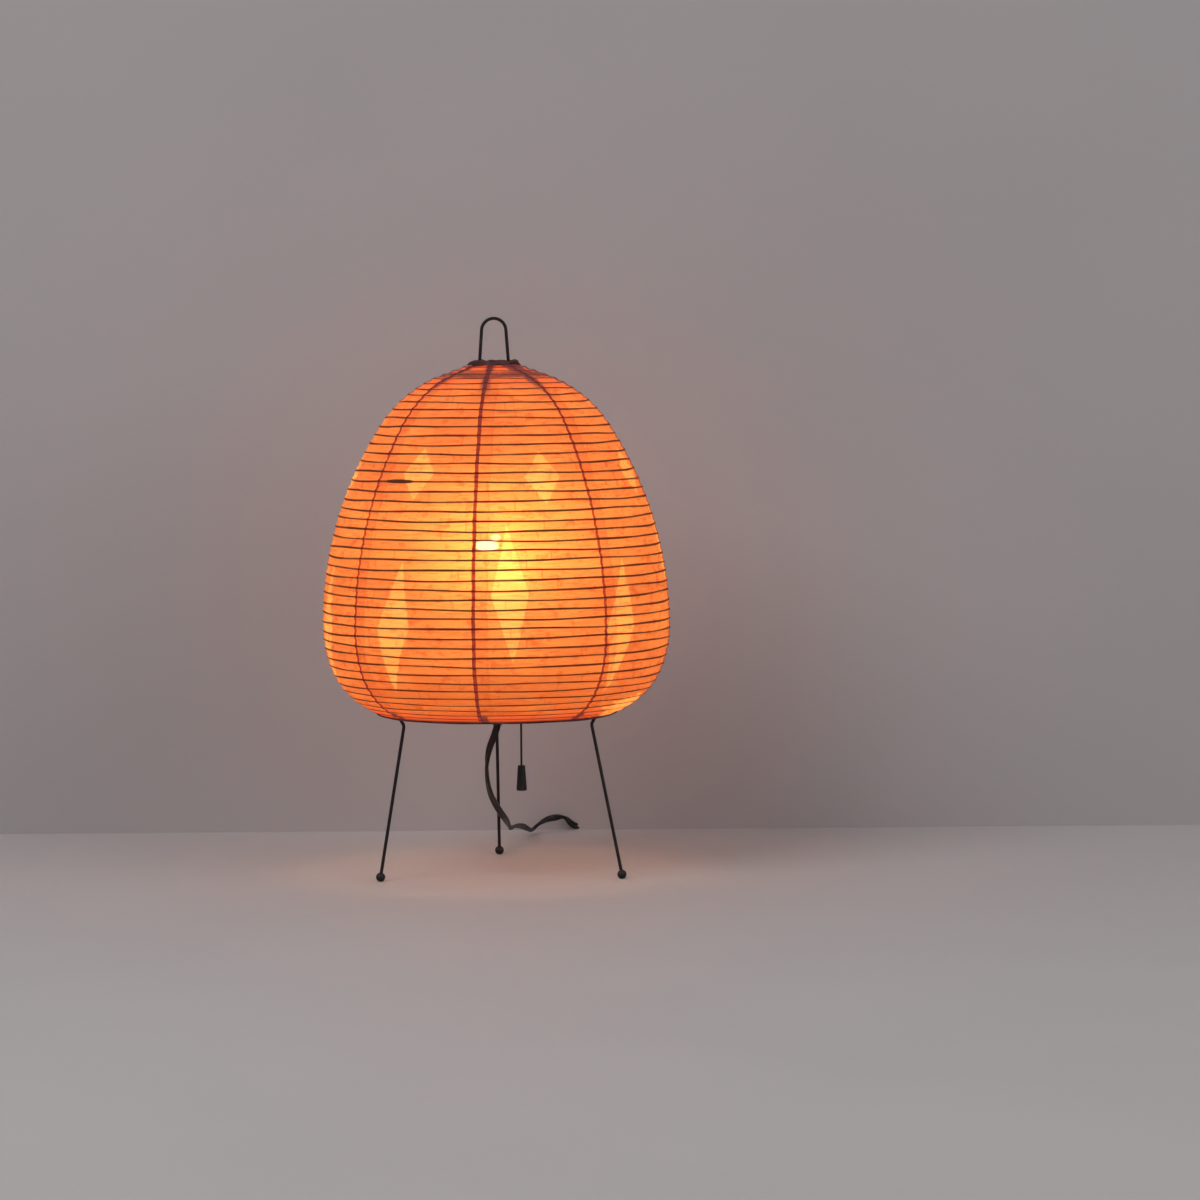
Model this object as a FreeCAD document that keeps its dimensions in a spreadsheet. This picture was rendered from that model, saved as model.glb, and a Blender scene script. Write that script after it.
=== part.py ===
"""Rice paper table lamp: a ribbed paper shade stretched between a wire tripod and a wire handle.

Millimetres, +Z up. The origin lies on the table under the shade's axis, and the front faces -Y.
"""
import FreeCAD, Part
import math
import os

import Sketcher

V = FreeCAD.Vector
UP = V(0, 0, 1)
doc = FreeCAD.newDocument("paper_lamp")

# Driving dimensions, one cell each
dims = doc.addObject("Spreadsheet::Sheet", "dims")
DRIVING = {
    # Shade outline: two pairs of tangent arcs that meet at the belly, and a straight cone at the top
    "shade_top_radius": 15.5,
    "shade_top_height": 388.8,
    "shade_top_slope": 20.0,
    "shade_cone_radius": 40.0,
    "shade_upper_ratio": 2.6,
    "shade_belly_radius": 132.6,
    "shade_belly_height": 190.0,
    "shade_lower_ratio": 2.0,
    "shade_bottom_radius": 88.6,
    "shade_bottom_height": 121.9,
    "shade_bottom_slope": 18.0,
    # Paper, ribs and hoops
    "paper_thickness": 0.3,
    "paste_gap": 0.2,
    "gore_count": 8,
    "first_seam_angle": -97.0,
    "seam_width": 2.4,
    "hem_width": 3.2,
    "collar_width": 6.5,
    "collar_thickness": 1.6,
    "rib_count": 44,
    "rib_first": 8.8,
    "rib_last": 8.1,
    "rib_spread": 0.094,
    "rib_width": 1.3,
    "rib_depth": 1.0,
    "hoop_wire": 2.0,
    # Tripod
    "leg_wire": 2.5,
    "tripod_turn": 1.9,
    "tripod_lean": 1.5,
    "foot_circle_radius": 105.0,
    "foot_diameter": 7.0,
    "foot_flat_diameter": 2.4,
    "leg_kink_inset": 7.4,
    "leg_kink_drop": 7.2,
    "leg_tip_rise": 8.6,
    "leg_bend_radius": 4.0,
    "weld_gap": 0.1,
    "hub_height": 140.0,
    "hub_radius": 17.0,
    "hub_thickness": 2.0,
    "ear_width": 12.0,
    # Stretcher wire with the carrying handle at its top
    "handle_wire": 2.5,
    "handle_rise": 35.2,
    "handle_top_width": 19.8,
    "handle_foot_width": 25.1,
    "stretcher_half_width": 38.0,
    "stretcher_bend_radius": 9.0,
    "sleeve_spacing": 52.0,
    "sleeve_diameter": 6.0,
    "sleeve_length": 14.0,
    # Lamp holder
    "nipple_diameter": 10.0,
    "nipple_bore": 7.0,
    "nipple_length": 18.0,
    "nipple_reach": 1.0,
    "nut_width": 14.0,
    "nut_thickness": 4.0,
    "washer_thickness": 0.8,
    "holder_radius": 20.0,
    "holder_wall": 1.8,
    "cap_length": 20.0,
    "shell_length": 36.0,
    "insulator_thickness": 8.0,
    "boss_height": 2.0,
    "boss_inset": 1.0,
    "screw_shell_drop": 3.0,
    "contact_thickness": 1.2,
    "contact_diameter": 10.0,
    "terminal_screw_diameter": 4.4,
    "terminal_spacing": 18.0,
    "grip_length": 22.0,
    "grip_top_diameter": 11.0,
    "grip_band": 4.0,
    "grip_plug_length": 6.0,
    "grip_lip": 0.6,
    "part_gap": 0.3,
    # Bulb with a 26 mm screw cap
    "bulb_radius": 30.0,
    "bulb_length": 107.0,
    "bulb_neck_radius": 12.2,
    "glass_thickness": 0.8,
    "screw_cap_radius": 13.1,
    "screw_cap_length": 23.5,
    "screw_cap_taper": 3.0,
    "screw_cap_wall": 0.5,
    "bulb_foot_diameter": 19.0,
    "bulb_foot_height": 2.4,
    "bulb_contact_diameter": 8.0,
    "bulb_contact_height": 1.2,
    "glass_seat": 8.0,
    "glass_shoulder_radius": 42.0,
    "stem_diameter": 8.0,
    "stem_top_diameter": 4.8,
    "stem_flare": 14.0,
    "filament_span": 26.0,
    "filament_rise": 3.0,
    "screw_shell_wall": 0.6,
    # Pull switch
    "pull_radius": 26.0,
    "pull_azimuth": 47.0,
    "pull_guide_diameter": 9.0,
    "pull_guide_length": 26.0,
    "pull_rod_diameter": 2.0,
    "pull_rod_out": 3.0,
    "pull_guide_drop": 4.0,
    "pull_cord_diameter": 1.6,
    "knob_top_height": 79.5,
    "knob_length": 19.5,
    "knob_top_diameter": 5.7,
    "knob_bottom_diameter": 8.0,
    "knob_rim": 2.0,
    "knob_edge": 0.5,
    # Mains cord, its put-away coil and its plug
    "cord_width": 5.4,
    "cord_drop": 8.0,
    "coil_stub": 24.0,
    "coil_turn_radius": 30.0,
    "coil_section": 16.8,
    "coil_centre_across": 96.0,
    "coil_centre_back": 325.0,
    "coil_lift": 1.7,
    "tie_width": 6.0,
    "tie_thickness": 1.0,
    "plug_length": 30.0,
    "plug_neck_length": 18.0,
    "plug_width": 24.0,
    "plug_height": 15.0,
    "plug_rounding": 2.5,
    "blade_length": 17.0,
    "blade_width": 6.3,
    "blade_thickness": 1.5,
    "blade_spacing": 12.7,
}
for row, (alias, number) in enumerate(DRIVING.items(), start=1):
    dims.set(f"A{row}", alias)
    dims.set(f"B{row}", str(number))
    dims.setAlias(f"B{row}", alias)
doc.recompute()

pieces = []


def size(expression):
    """Value of an expression on the sheet's aliases, such as dims.leg_wire / 2."""
    value = dims.evalExpression(expression)
    return float(getattr(value, "Value", value))


def named(piece, label):
    """Give a finished sub-part its label and keep it for export."""
    piece.Label = label
    pieces.append(piece)
    return piece


def bind(piece, **expressions):
    for name, expression in expressions.items():
        piece.setExpression(name, expression)
    return piece


def shape_object(shape, name):
    """A plain shape of the document, for what has no feature of its own."""
    piece = doc.addObject("Part::Feature", name)
    piece.Shape = shape
    return piece


# PartDesign helpers: bodies from sketches whose corners are bound to the sheet


def body_plane(body, role):
    return next(f for f in body.Origin.OriginFeatures if f.Role == role)


def corner_sketch(body, role, corners, offset=None):
    """A closed polygon on one of the body's own planes; each corner is a pair of expressions."""
    sketch = body.newObject("Sketcher::SketchObject", body.Name + "_sketch")
    sketch.AttachmentSupport = [(body_plane(body, role), "")]
    sketch.MapMode = "FlatFace"
    if offset:
        sketch.setExpression("AttachmentOffset.Base.z", offset)
    points = [V(size(x), size(y), 0) for x, y in corners]
    for i, point in enumerate(points):
        sketch.addGeometry(Part.LineSegment(point, points[(i + 1) % len(points)]), False)
    for i, (x, y) in enumerate(corners):
        sketch.addConstraint(Sketcher.Constraint("Coincident", i, 2, (i + 1) % len(points), 1))
        for kind, expression, value in (("DistanceX", x, points[i].x), ("DistanceY", y, points[i].y)):
            index = sketch.addConstraint(Sketcher.Constraint(kind, -1, 1, i, 1, value))
            sketch.setExpression(f"Constraints[{index}]", expression)
    return sketch


def circle_sketch(body, role, x, y, radius, offset=None):
    sketch = body.newObject("Sketcher::SketchObject", body.Name + "_circle")
    sketch.AttachmentSupport = [(body_plane(body, role), "")]
    sketch.MapMode = "FlatFace"
    if offset:
        sketch.setExpression("AttachmentOffset.Base.z", offset)
    sketch.addGeometry(Part.Circle(V(size(x), size(y), 0), UP, size(radius)), False)
    for kind, expression in (("DistanceX", x), ("DistanceY", y)):
        index = sketch.addConstraint(Sketcher.Constraint(kind, -1, 1, 0, 3, size(expression)))
        sketch.setExpression(f"Constraints[{index}]", expression)
    index = sketch.addConstraint(Sketcher.Constraint("Radius", 0, size(radius)))
    sketch.setExpression(f"Constraints[{index}]", radius)
    return sketch


def turned(label, corners):
    """A piece turned about the Z axis from a half section of (radius, height) corners."""
    body = doc.addObject("PartDesign::Body", label)
    sketch = corner_sketch(body, "XZ_Plane", corners)
    turn = body.newObject("PartDesign::Revolution", label + "_turn")
    turn.Profile = sketch
    turn.ReferenceAxis = (sketch, ["V_Axis"])
    turn.Angle = 360
    return named(body, label)


def padded(body, sketch, length):
    pad = body.newObject("PartDesign::Pad", body.Name + "_pad")
    pad.Profile = sketch
    return bind(pad, Length=length)


def pocketed(body, sketch, length, reverse):
    """A pocket that has to take material away."""
    doc.recompute()
    before = body.Shape.Volume
    pocket = body.newObject("PartDesign::Pocket", body.Name + "_pocket")
    pocket.Profile = sketch
    pocket.Reversed = reverse
    bind(pocket, Length=length)
    doc.recompute()
    if body.Shape.Volume >= before - 1e-6:
        raise ValueError(f"{body.Label}: the pocket cuts nothing")
    return pocket


# Bent wires and cords: straight runs joined by tangent arcs


def bent_path(points, radii):
    """A wire through the points, rounded at each inner point by its own radius."""
    edges, start = [], points[0]
    for i in range(1, len(points) - 1):
        back = (points[i - 1] - points[i]).normalize()
        ahead = (points[i + 1] - points[i]).normalize()
        half = back.getAngle(ahead) / 2
        reach = radii[i - 1] / math.tan(half)
        middle = (back + ahead).normalize() * (radii[i - 1] / math.sin(half) - radii[i - 1])
        first, last = points[i] + back * reach, points[i] + ahead * reach
        edges.append(Part.LineSegment(start, first).toShape())
        edges.append(Part.Arc(first, points[i] + middle, last).toShape())
        start = last
    edges.append(Part.LineSegment(start, points[-1]).toShape())
    return Part.Wire(edges)


def swept(label, path, diameter):
    """A round wire of a bound diameter along a path."""
    spine = shape_object(path, label + "_path")
    section = bind(doc.addObject("Part::Circle", label + "_section"), Radius=f"{diameter} / 2")
    first = path.OrderedEdges[0]
    section.Placement = FreeCAD.Placement(
        first.valueAt(first.FirstParameter), FreeCAD.Rotation(UP, first.tangentAt(first.FirstParameter)))
    sweep = doc.addObject("Part::Sweep", label)
    sweep.Sections = [section]
    sweep.Spine = (spine, [f"Edge{i + 1}" for i in range(len(path.Edges))])
    sweep.Solid = True
    sweep.Frenet = False
    return sweep


def around(point, degrees):
    """A point turned about the Z axis."""
    return FreeCAD.Rotation(UP, degrees).multVec(point)


# Shade outline: the paper's outer face as four arcs from the bottom edge to the top edge


def two_arcs(start, start_way, end, end_way, ratio):
    """Two tangent arcs between two points with given directions, as (start, end, centre) each.

    The ratio compares the lengths of the tangents at the start and at the end.
    """
    span = end - start
    a = 2 * ratio * (start_way.dot(end_way) - 1)
    b = -2 * span.dot(start_way * ratio + end_way)
    reach = (-b - math.sqrt(b * b - 4 * a * span.dot(span))) / (2 * a)
    first_corner = start + start_way * reach * ratio
    last_corner = end - end_way * reach
    joint = first_corner + (last_corner - first_corner) * (ratio / (1 + ratio))
    joint_way = (last_corner - first_corner).normalize()
    arcs = []
    for first, last, way in ((start, joint, start_way), (joint, end, joint_way)):
        normal = V(-way.z, 0, way.x)
        chord = last - first
        arcs.append((first, last, first + normal * (chord.dot(chord) / (2 * chord.dot(normal)))))
    return arcs


def shade_outline():
    """The outline's runs from the bottom up: four arcs, then a straight run, which has no centre."""
    top_slope = math.radians(size("dims.shade_top_slope"))
    bottom_slope = math.radians(size("dims.shade_bottom_slope"))
    belly = V(size("dims.shade_belly_radius"), 0, size("dims.shade_belly_height"))
    top = V(size("dims.shade_top_radius"), 0, size("dims.shade_top_height"))
    bottom = V(size("dims.shade_bottom_radius"), 0, size("dims.shade_bottom_height"))
    bottom_way = V(math.cos(bottom_slope), 0, math.sin(bottom_slope))
    top_way = V(-math.cos(top_slope), 0, math.sin(top_slope))
    cone = top - top_way * ((size("dims.shade_cone_radius") - top.x) / math.cos(top_slope))
    lower = two_arcs(bottom, bottom_way, belly, UP, size("dims.shade_lower_ratio"))
    upper = two_arcs(belly, UP, cone, top_way, size("dims.shade_upper_ratio"))
    return lower + upper + [(cone, top, None)]


def run_length(run):
    first, last, centre = run
    if centre is None:
        return (last - first).Length
    return (first - centre).getAngle(last - centre) * (first - centre).Length


OUTLINE = shade_outline()
OUTLINE_LENGTH = sum(run_length(run) for run in OUTLINE)


def outline_frame(distance):
    """Point, upward tangent and inward normal of the outline at a length along it."""
    left = distance
    for run in OUTLINE[:-1]:
        if left <= run_length(run):
            first, _, centre = run
            spoke = first - centre
            turn = FreeCAD.Rotation(V(0, -1, 0), math.degrees(left / spoke.Length))
            out = turn.multVec(spoke)
            inward = (out * -1).normalize()
            return centre + out, V(inward.z, 0, -inward.x), inward
        left -= run_length(run)
    first, last, _ = OUTLINE[-1]
    way = (last - first).normalize()
    return first + way * left, way, V(-way.z, 0, way.x)


def outline_point(distance, depth):
    point, _, inward = outline_frame(distance)
    return point + inward * depth


def shell_face(start, end, depth, thickness):
    """Half section of a skin that follows the outline from start to end, depth inside it."""

    def side(layer):
        edges, done = [], 0.0
        for run in OUTLINE:
            low, high = max(start, done), min(end, done + run_length(run))
            if high - low > 1e-6:
                ends = [outline_point(at, layer) for at in (low, (low + high) / 2, high)]
                straight = run[2] is None
                edge = Part.LineSegment(ends[0], ends[2]) if straight else Part.Arc(*ends)
                edges.append(edge.toShape())
            done += run_length(run)
        return edges

    outer, inner = side(depth), side(depth + thickness)
    caps = [Part.LineSegment(outline_point(at, depth), outline_point(at, depth + thickness)).toShape()
            for at in (start, end)]
    return Part.Face(Part.Wire(Part.__sortEdges__(outer + inner + caps)))


def revolved(label, face, angle="360"):
    """A face turned about the Z axis by a bound angle."""
    turn = doc.addObject("Part::Revolution", label)
    turn.Source = shape_object(face, label + "_profile")
    turn.Axis = UP
    turn.Base = V(0, 0, 0)
    turn.Solid = True
    turn.setExpression("Angle", angle)
    return turn


# Paper gores: eight panels pasted edge to edge over the ribs
PAPER = size("dims.paper_thickness")
GAP = size("dims.paste_gap")
GORES = round(size("dims.gore_count"))
gore_face = shell_face(0, OUTLINE_LENGTH, 0, PAPER)
for number in range(GORES):
    turned_face = gore_face.copy()
    turned_face.rotate(V(0, 0, 0), UP, size("dims.first_seam_angle") + 360 / GORES * number)
    gore = revolved(f"paper_gore_{number + 1}", turned_face, "360 / dims.gore_count")
    named(gore, f"paper_gore_{number + 1}")

# Outer layer of paper: hem at the bottom, folded collar at the top, and a strip over each seam
HEM = size("dims.hem_width")
COLLAR = size("dims.collar_width")
OUTER_DEPTH = -(GAP + PAPER)
named(revolved("bottom_hem", shell_face(0, HEM, OUTER_DEPTH, PAPER)), "bottom_hem")
FOLD = size("dims.collar_thickness")
collar_face = shell_face(OUTLINE_LENGTH - COLLAR, OUTLINE_LENGTH, -(GAP + FOLD), FOLD)
named(revolved("top_collar", collar_face), "top_collar")

strip_end_gap = size("dims.part_gap")
strip_face = shell_face(HEM + strip_end_gap, OUTLINE_LENGTH - COLLAR - strip_end_gap, OUTER_DEPTH, PAPER)
strip_width = size("dims.seam_width")
strip_sweep = math.degrees(math.atan2(strip_width, outline_point(OUTLINE_LENGTH, 0).x))
strip_face.rotate(V(0, 0, 0), UP, -strip_sweep)
strip_skin = strip_face.revolve(V(0, 0, 0), UP, 2 * strip_sweep)
slab = Part.makeBox(2 * size("dims.shade_belly_radius"), strip_width, 2 * size("dims.shade_top_height"),
                    V(0, -strip_width / 2, 0))
strip = Part.Solid(strip_skin.common(slab).Solids[0])
strips = []
for number in range(GORES):
    copy = strip.copy()
    copy.rotate(V(0, 0, 0), UP, size("dims.first_seam_angle") + 360 / GORES * number)
    strips.append(copy)
named(shape_object(Part.Compound(strips), "seam_strips"), "seam_strips")

# Wire hoops inside the two edges of the paper
HOOP = size("dims.hoop_wire")
hoop_depth = PAPER + GAP + HOOP / 2
bottom_hoop = outline_point(HOOP / 2, hoop_depth)
top_hoop = outline_point(OUTLINE_LENGTH - HOOP / 2, hoop_depth)
for label, centre in (("bottom_hoop", bottom_hoop), ("top_hoop", top_hoop)):
    hoop = bind(doc.addObject("Part::Torus", label), Radius2="dims.hoop_wire / 2")
    hoop.Radius1 = centre.x
    hoop.Placement.Base = V(0, 0, centre.z)
    named(hoop, label)

# Bamboo ribs: hoops of split bamboo pasted inside the paper, set a little wider towards the top
RIBS = round(size("dims.rib_count"))
rib_half = size("dims.rib_width") / 2
rib_outside = PAPER + GAP
rib_inside = rib_outside + size("dims.rib_depth")
rib_first = size("dims.rib_first")
rib_span = OUTLINE_LENGTH - rib_first - size("dims.rib_last")
rib_spread = size("dims.rib_spread")
ribs = []
for number in range(RIBS):
    part = number / (RIBS - 1)
    point, along, inward = outline_frame(rib_first + rib_span * (part + rib_spread * part * (part - 1)))
    corners = [point + inward * depth + along * side
               for depth, side in ((rib_outside, -rib_half), (rib_outside, rib_half),
                                   (rib_inside, rib_half), (rib_inside, -rib_half))]
    section = Part.Face(Part.makePolygon(corners + corners[:1]))
    ribs.append(section.revolve(V(0, 0, 0), UP, 360))
named(shape_object(Part.Compound(ribs), "bamboo_ribs"), "bamboo_ribs")

# Tripod legs: each a wire from the foot up inside the bottom hoop, hooked over it and in to the hub
LEG = size("dims.leg_wire")
TRIPOD_TURN = size("dims.tripod_turn")
LEG_ANGLES = {
    "leg_left": 210 + TRIPOD_TURN,
    "leg_right": -30 + TRIPOD_TURN,
    "leg_back": 90 + TRIPOD_TURN,
}
foot_radius = size("dims.foot_diameter / 2")
foot_flat = size("dims.foot_flat_diameter / 2")
foot_height = math.sqrt(foot_radius**2 - foot_flat**2)
hub_under = size("dims.hub_height - dims.leg_wire / 2 - dims.weld_gap")
clear = HOOP / 2 + LEG / 2 + GAP
kink = V(bottom_hoop.x - size("dims.leg_kink_inset"), 0, bottom_hoop.z - size("dims.leg_kink_drop"))
tip_height = bottom_hoop.z + size("dims.leg_tip_rise")
hook_way = V(bottom_hoop.x - kink.x, 0, bottom_hoop.z - kink.z)
hook_tilt = math.atan2(hook_way.z, hook_way.x) + math.asin(clear / hook_way.Length)
tip = V(kink.x + (tip_height - kink.z) / math.tan(hook_tilt), 0, tip_height)
hub_edge = V(size("dims.hub_radius"), 0, hub_under)
spoke_end = V(size("dims.nut_width") / math.sqrt(3) + LEG / 2, 0, hub_under)
foot_centre = V(size("dims.foot_circle_radius"), 0, foot_height)
LEAN = V(size("dims.tripod_lean"), 0, 0)
leg_points = [foot_centre, kink, tip, hub_edge, spoke_end]
bend = size("dims.leg_bend_radius")
leg_radii = [bend, bend * 0.75, bend * 3]
for label, angle in LEG_ANGLES.items():
    points = [around(p, angle) for p in leg_points]
    points[0] += LEAN
    path = bent_path(points, leg_radii)
    named(swept(label, path, "dims.leg_wire"), label)

# Ball feet pushed on the leg ends, each with a small worn flat
for label, angle in LEG_ANGLES.items():
    name = label.replace("leg", "foot")
    ball_centre = around(foot_centre, angle) + LEAN
    way = (around(kink, angle) - ball_centre).normalize()
    ball = bind(doc.addObject("Part::Sphere", name + "_ball"), Radius="dims.foot_diameter / 2",
                Angle1="-acos(dims.foot_flat_diameter / dims.foot_diameter)")
    ball.Placement.Base = ball_centre
    socket = bind(doc.addObject("Part::Cylinder", name + "_socket"), Height="dims.foot_diameter",
                  Radius="dims.leg_wire / 2 + dims.weld_gap")
    socket.Placement = FreeCAD.Placement(
        ball_centre - way * size("dims.weld_gap"), FreeCAD.Rotation(UP, way))
    foot = doc.addObject("Part::Cut", name)
    foot.Base, foot.Tool = ball, socket
    named(foot, name)

# Hub plate: a disc with two ears for the stretcher's sleeves
hub = doc.addObject("PartDesign::Body", "hub_plate")
hub_disc = circle_sketch(hub, "XY_Plane", "0 mm", "0 mm", "dims.hub_radius", "dims.hub_height")
padded(hub, hub_disc, "dims.hub_thickness")
ear_reach = "(dims.sleeve_spacing / 2 + dims.ear_width / 2)"
ear_corners = [(f"-{ear_reach}", "-dims.ear_width / 2"), (ear_reach, "-dims.ear_width / 2"),
               (ear_reach, "dims.ear_width / 2"), (f"-{ear_reach}", "dims.ear_width / 2")]
padded(hub, corner_sketch(hub, "XY_Plane", ear_corners, "dims.hub_height"), "dims.hub_thickness")
hub_hole = circle_sketch(
    hub, "XY_Plane", "0 mm", "0 mm", "dims.nipple_diameter / 2 + dims.weld_gap", "dims.hub_height")
pocketed(hub, hub_hole, "dims.hub_thickness", True)
named(hub, "hub_plate")

# Stretcher: one wire that holds the shade open; its top is the carrying handle
hub_top = size("dims.hub_height + dims.hub_thickness")
HANDLE = size("dims.handle_wire")
handle_top = size("dims.shade_top_height + dims.handle_rise") - HANDLE / 2
top_half = size("dims.handle_top_width") / 2 - HANDLE / 2
foot_half = size("dims.handle_foot_width") / 2 - HANDLE / 2
neck_height = top_hoop.z - HOOP / 2 - HANDLE / 2 - GAP
shoulder_half = top_hoop.x + HOOP / 2 + HANDLE / 2
wide = size("dims.stretcher_half_width")
sleeve_half = size("dims.sleeve_spacing") / 2
sleeve_top = hub_top + size("dims.sleeve_length")
side = [
    V(sleeve_half, 0, hub_top + size("dims.part_gap")),
    V(sleeve_half, 0, sleeve_top + HANDLE * 4),
    V(wide, 0, sleeve_top + HANDLE * 4 + 2 * (wide - sleeve_half)),
    V(wide, 0, size("dims.shade_belly_height + dims.bulb_length")),
    V(shoulder_half, 0, neck_height - HANDLE),
    V(foot_half, 0, neck_height),
    V(top_half, 0, handle_top),
]
mirror = [V(-p.x, p.y, p.z) for p in reversed(side)]
soft_bend = size("dims.stretcher_bend_radius")
shoulder_bend = HANDLE
# The handle is one round arch: its two corner arcs all but meet at the top
lean = math.atan2(foot_half - top_half, handle_top - neck_height)
arch_radius = 0.99 * top_half / math.tan((math.pi / 2 - lean) / 2)
side_radii = [soft_bend, soft_bend, soft_bend * 4, shoulder_bend, shoulder_bend, arch_radius]
stretcher_path = bent_path(side + mirror, side_radii + side_radii[::-1])
named(swept("stretcher_handle", stretcher_path, "dims.handle_wire"), "stretcher_handle")

sleeves = []
for sign in (-1, 1):
    tube = bind(doc.addObject("Part::Cylinder", "sleeve_tube"), Radius="dims.sleeve_diameter / 2",
                Height="dims.sleeve_length")
    bore = bind(doc.addObject("Part::Cylinder", "sleeve_bore"), Height="dims.sleeve_length",
                Radius="dims.handle_wire / 2 + dims.weld_gap")
    for cylinder in (tube, bore):
        cylinder.Placement.Base = V(sign * sleeve_half, 0, hub_top)
    sleeve = doc.addObject("Part::Cut", "sleeve")
    sleeve.Base, sleeve.Tool = tube, bore
    sleeves.append(sleeve)
pair = doc.addObject("Part::Compound", "stretcher_sleeves")
pair.Links = sleeves
named(pair, "stretcher_sleeves")

# Threaded nipple, washer and lock nut that clamp the lamp holder on the hub
Z_HUB = "dims.hub_height"
Z_HUB_TOP = "(dims.hub_height + dims.hub_thickness)"
Z_NUT_TOP = f"({Z_HUB} - dims.washer_thickness)"
Z_NUT = f"({Z_NUT_TOP} - dims.nut_thickness)"
Z_NIPPLE = f"({Z_NUT} - dims.nipple_reach)"
R_NIPPLE = "dims.nipple_diameter / 2"
R_NIPPLE_HOLE = "(dims.nipple_diameter / 2 + dims.weld_gap)"
turned("holder_nipple", [
    ("dims.nipple_bore / 2", Z_NIPPLE), (R_NIPPLE, Z_NIPPLE),
    (R_NIPPLE, f"{Z_NIPPLE} + dims.nipple_length"),
    ("dims.nipple_bore / 2", f"{Z_NIPPLE} + dims.nipple_length")])
turned("holder_washer", [
    (R_NIPPLE_HOLE, Z_NUT_TOP), ("dims.nut_width / 2", Z_NUT_TOP),
    ("dims.nut_width / 2", Z_HUB), (R_NIPPLE_HOLE, Z_HUB)])
nut = doc.addObject("PartDesign::Body", "holder_nut")
hexagon = [(f"dims.nut_width / sqrt(3) * {math.cos(math.radians(a)):.6f}",
            f"dims.nut_width / sqrt(3) * {math.sin(math.radians(a)):.6f}") for a in range(0, 360, 60)]
padded(nut, corner_sketch(nut, "XY_Plane", hexagon, Z_NUT), "dims.nut_thickness")
nut_hole = circle_sketch(nut, "XY_Plane", "0 mm", "0 mm", R_NIPPLE_HOLE, Z_NUT)
pocketed(nut, nut_hole, "dims.nut_thickness", True)
named(nut, "holder_nut")

# Lamp holder: cap, outer shell, insulator with its contact, and the screw shell that takes the bulb
R_HOLDER = "dims.holder_radius"
R_INSIDE = "(dims.holder_radius - dims.holder_wall)"
Z_CAP_TOP = f"({Z_HUB_TOP} + dims.cap_length)"
Z_SHELL_TOP = f"({Z_CAP_TOP} + dims.shell_length)"
Z_BLOCK = f"({Z_CAP_TOP} - dims.insulator_thickness / 2)"
Z_BLOCK_TOP = f"({Z_BLOCK} + dims.insulator_thickness)"
Z_BOSS = f"({Z_BLOCK_TOP} + dims.boss_height)"
Z_CONTACT = f"({Z_BOSS} + dims.contact_thickness)"
R_LEDGE = f"({R_INSIDE} - dims.holder_wall)"
turned("holder_cap", [
    (R_NIPPLE_HOLE, Z_HUB_TOP), (f"{R_HOLDER} - 2 * dims.holder_wall", Z_HUB_TOP),
    (R_HOLDER, f"{Z_HUB_TOP} + 2 * dims.holder_wall"), (R_HOLDER, Z_CAP_TOP), (R_INSIDE, Z_CAP_TOP),
    (R_INSIDE, Z_BLOCK), (R_LEDGE, Z_BLOCK), (R_LEDGE, f"{Z_HUB_TOP} + 2 * dims.holder_wall"),
    (R_NIPPLE_HOLE, f"{Z_HUB_TOP} + 2 * dims.holder_wall")])
turned("holder_shell", [
    (R_INSIDE, Z_CAP_TOP), (R_HOLDER, Z_CAP_TOP), (R_HOLDER, Z_SHELL_TOP),
    (f"{R_INSIDE} - dims.holder_wall", Z_SHELL_TOP),
    (f"{R_INSIDE} - dims.holder_wall", f"{Z_SHELL_TOP} - dims.holder_wall"),
    (R_INSIDE, f"{Z_SHELL_TOP} - dims.holder_wall")])
R_BOSS = "(dims.screw_cap_radius - dims.boss_inset)"
turned("holder_insulator", [
    ("0", Z_BLOCK), (f"{R_INSIDE} - dims.weld_gap", Z_BLOCK), (f"{R_INSIDE} - dims.weld_gap", Z_BLOCK_TOP),
    (R_BOSS, Z_BLOCK_TOP), (R_BOSS, Z_BOSS), ("0", Z_BOSS)])
turned("centre_contact", [
    ("0", Z_BOSS), ("dims.contact_diameter / 2", Z_BOSS),
    ("dims.contact_diameter / 2 - dims.contact_thickness", Z_CONTACT), ("0", Z_CONTACT)])
R_SCREW = "(dims.screw_cap_radius + dims.part_gap)"
turned("screw_shell", [
    (R_SCREW, Z_BLOCK_TOP), (f"{R_SCREW} + 2 * dims.screw_shell_wall", Z_BLOCK_TOP),
    (f"{R_SCREW} + 2 * dims.screw_shell_wall", f"{Z_BLOCK_TOP} + dims.screw_shell_wall"),
    (f"{R_SCREW} + dims.screw_shell_wall", f"{Z_BLOCK_TOP} + dims.screw_shell_wall"),
    (f"{R_SCREW} + dims.screw_shell_wall", f"{Z_SHELL_TOP} - dims.screw_shell_drop"),
    (R_SCREW, f"{Z_SHELL_TOP} - dims.screw_shell_drop")])
screws = []
for sign in (-1, 1):
    screw = bind(doc.addObject("Part::Cylinder", "terminal_screw"), Height="dims.insulator_thickness / 2")
    screw.setExpression("Radius", "dims.terminal_screw_diameter / 2")
    screw.Placement.Base = V(
        0, sign * size("dims.terminal_spacing / 2"), size(f"{Z_BLOCK} - dims.insulator_thickness / 2"))
    screws.append(screw)
pair = doc.addObject("Part::Compound", "terminal_screws")
pair.Links = screws
named(pair, "terminal_screws")

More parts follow.
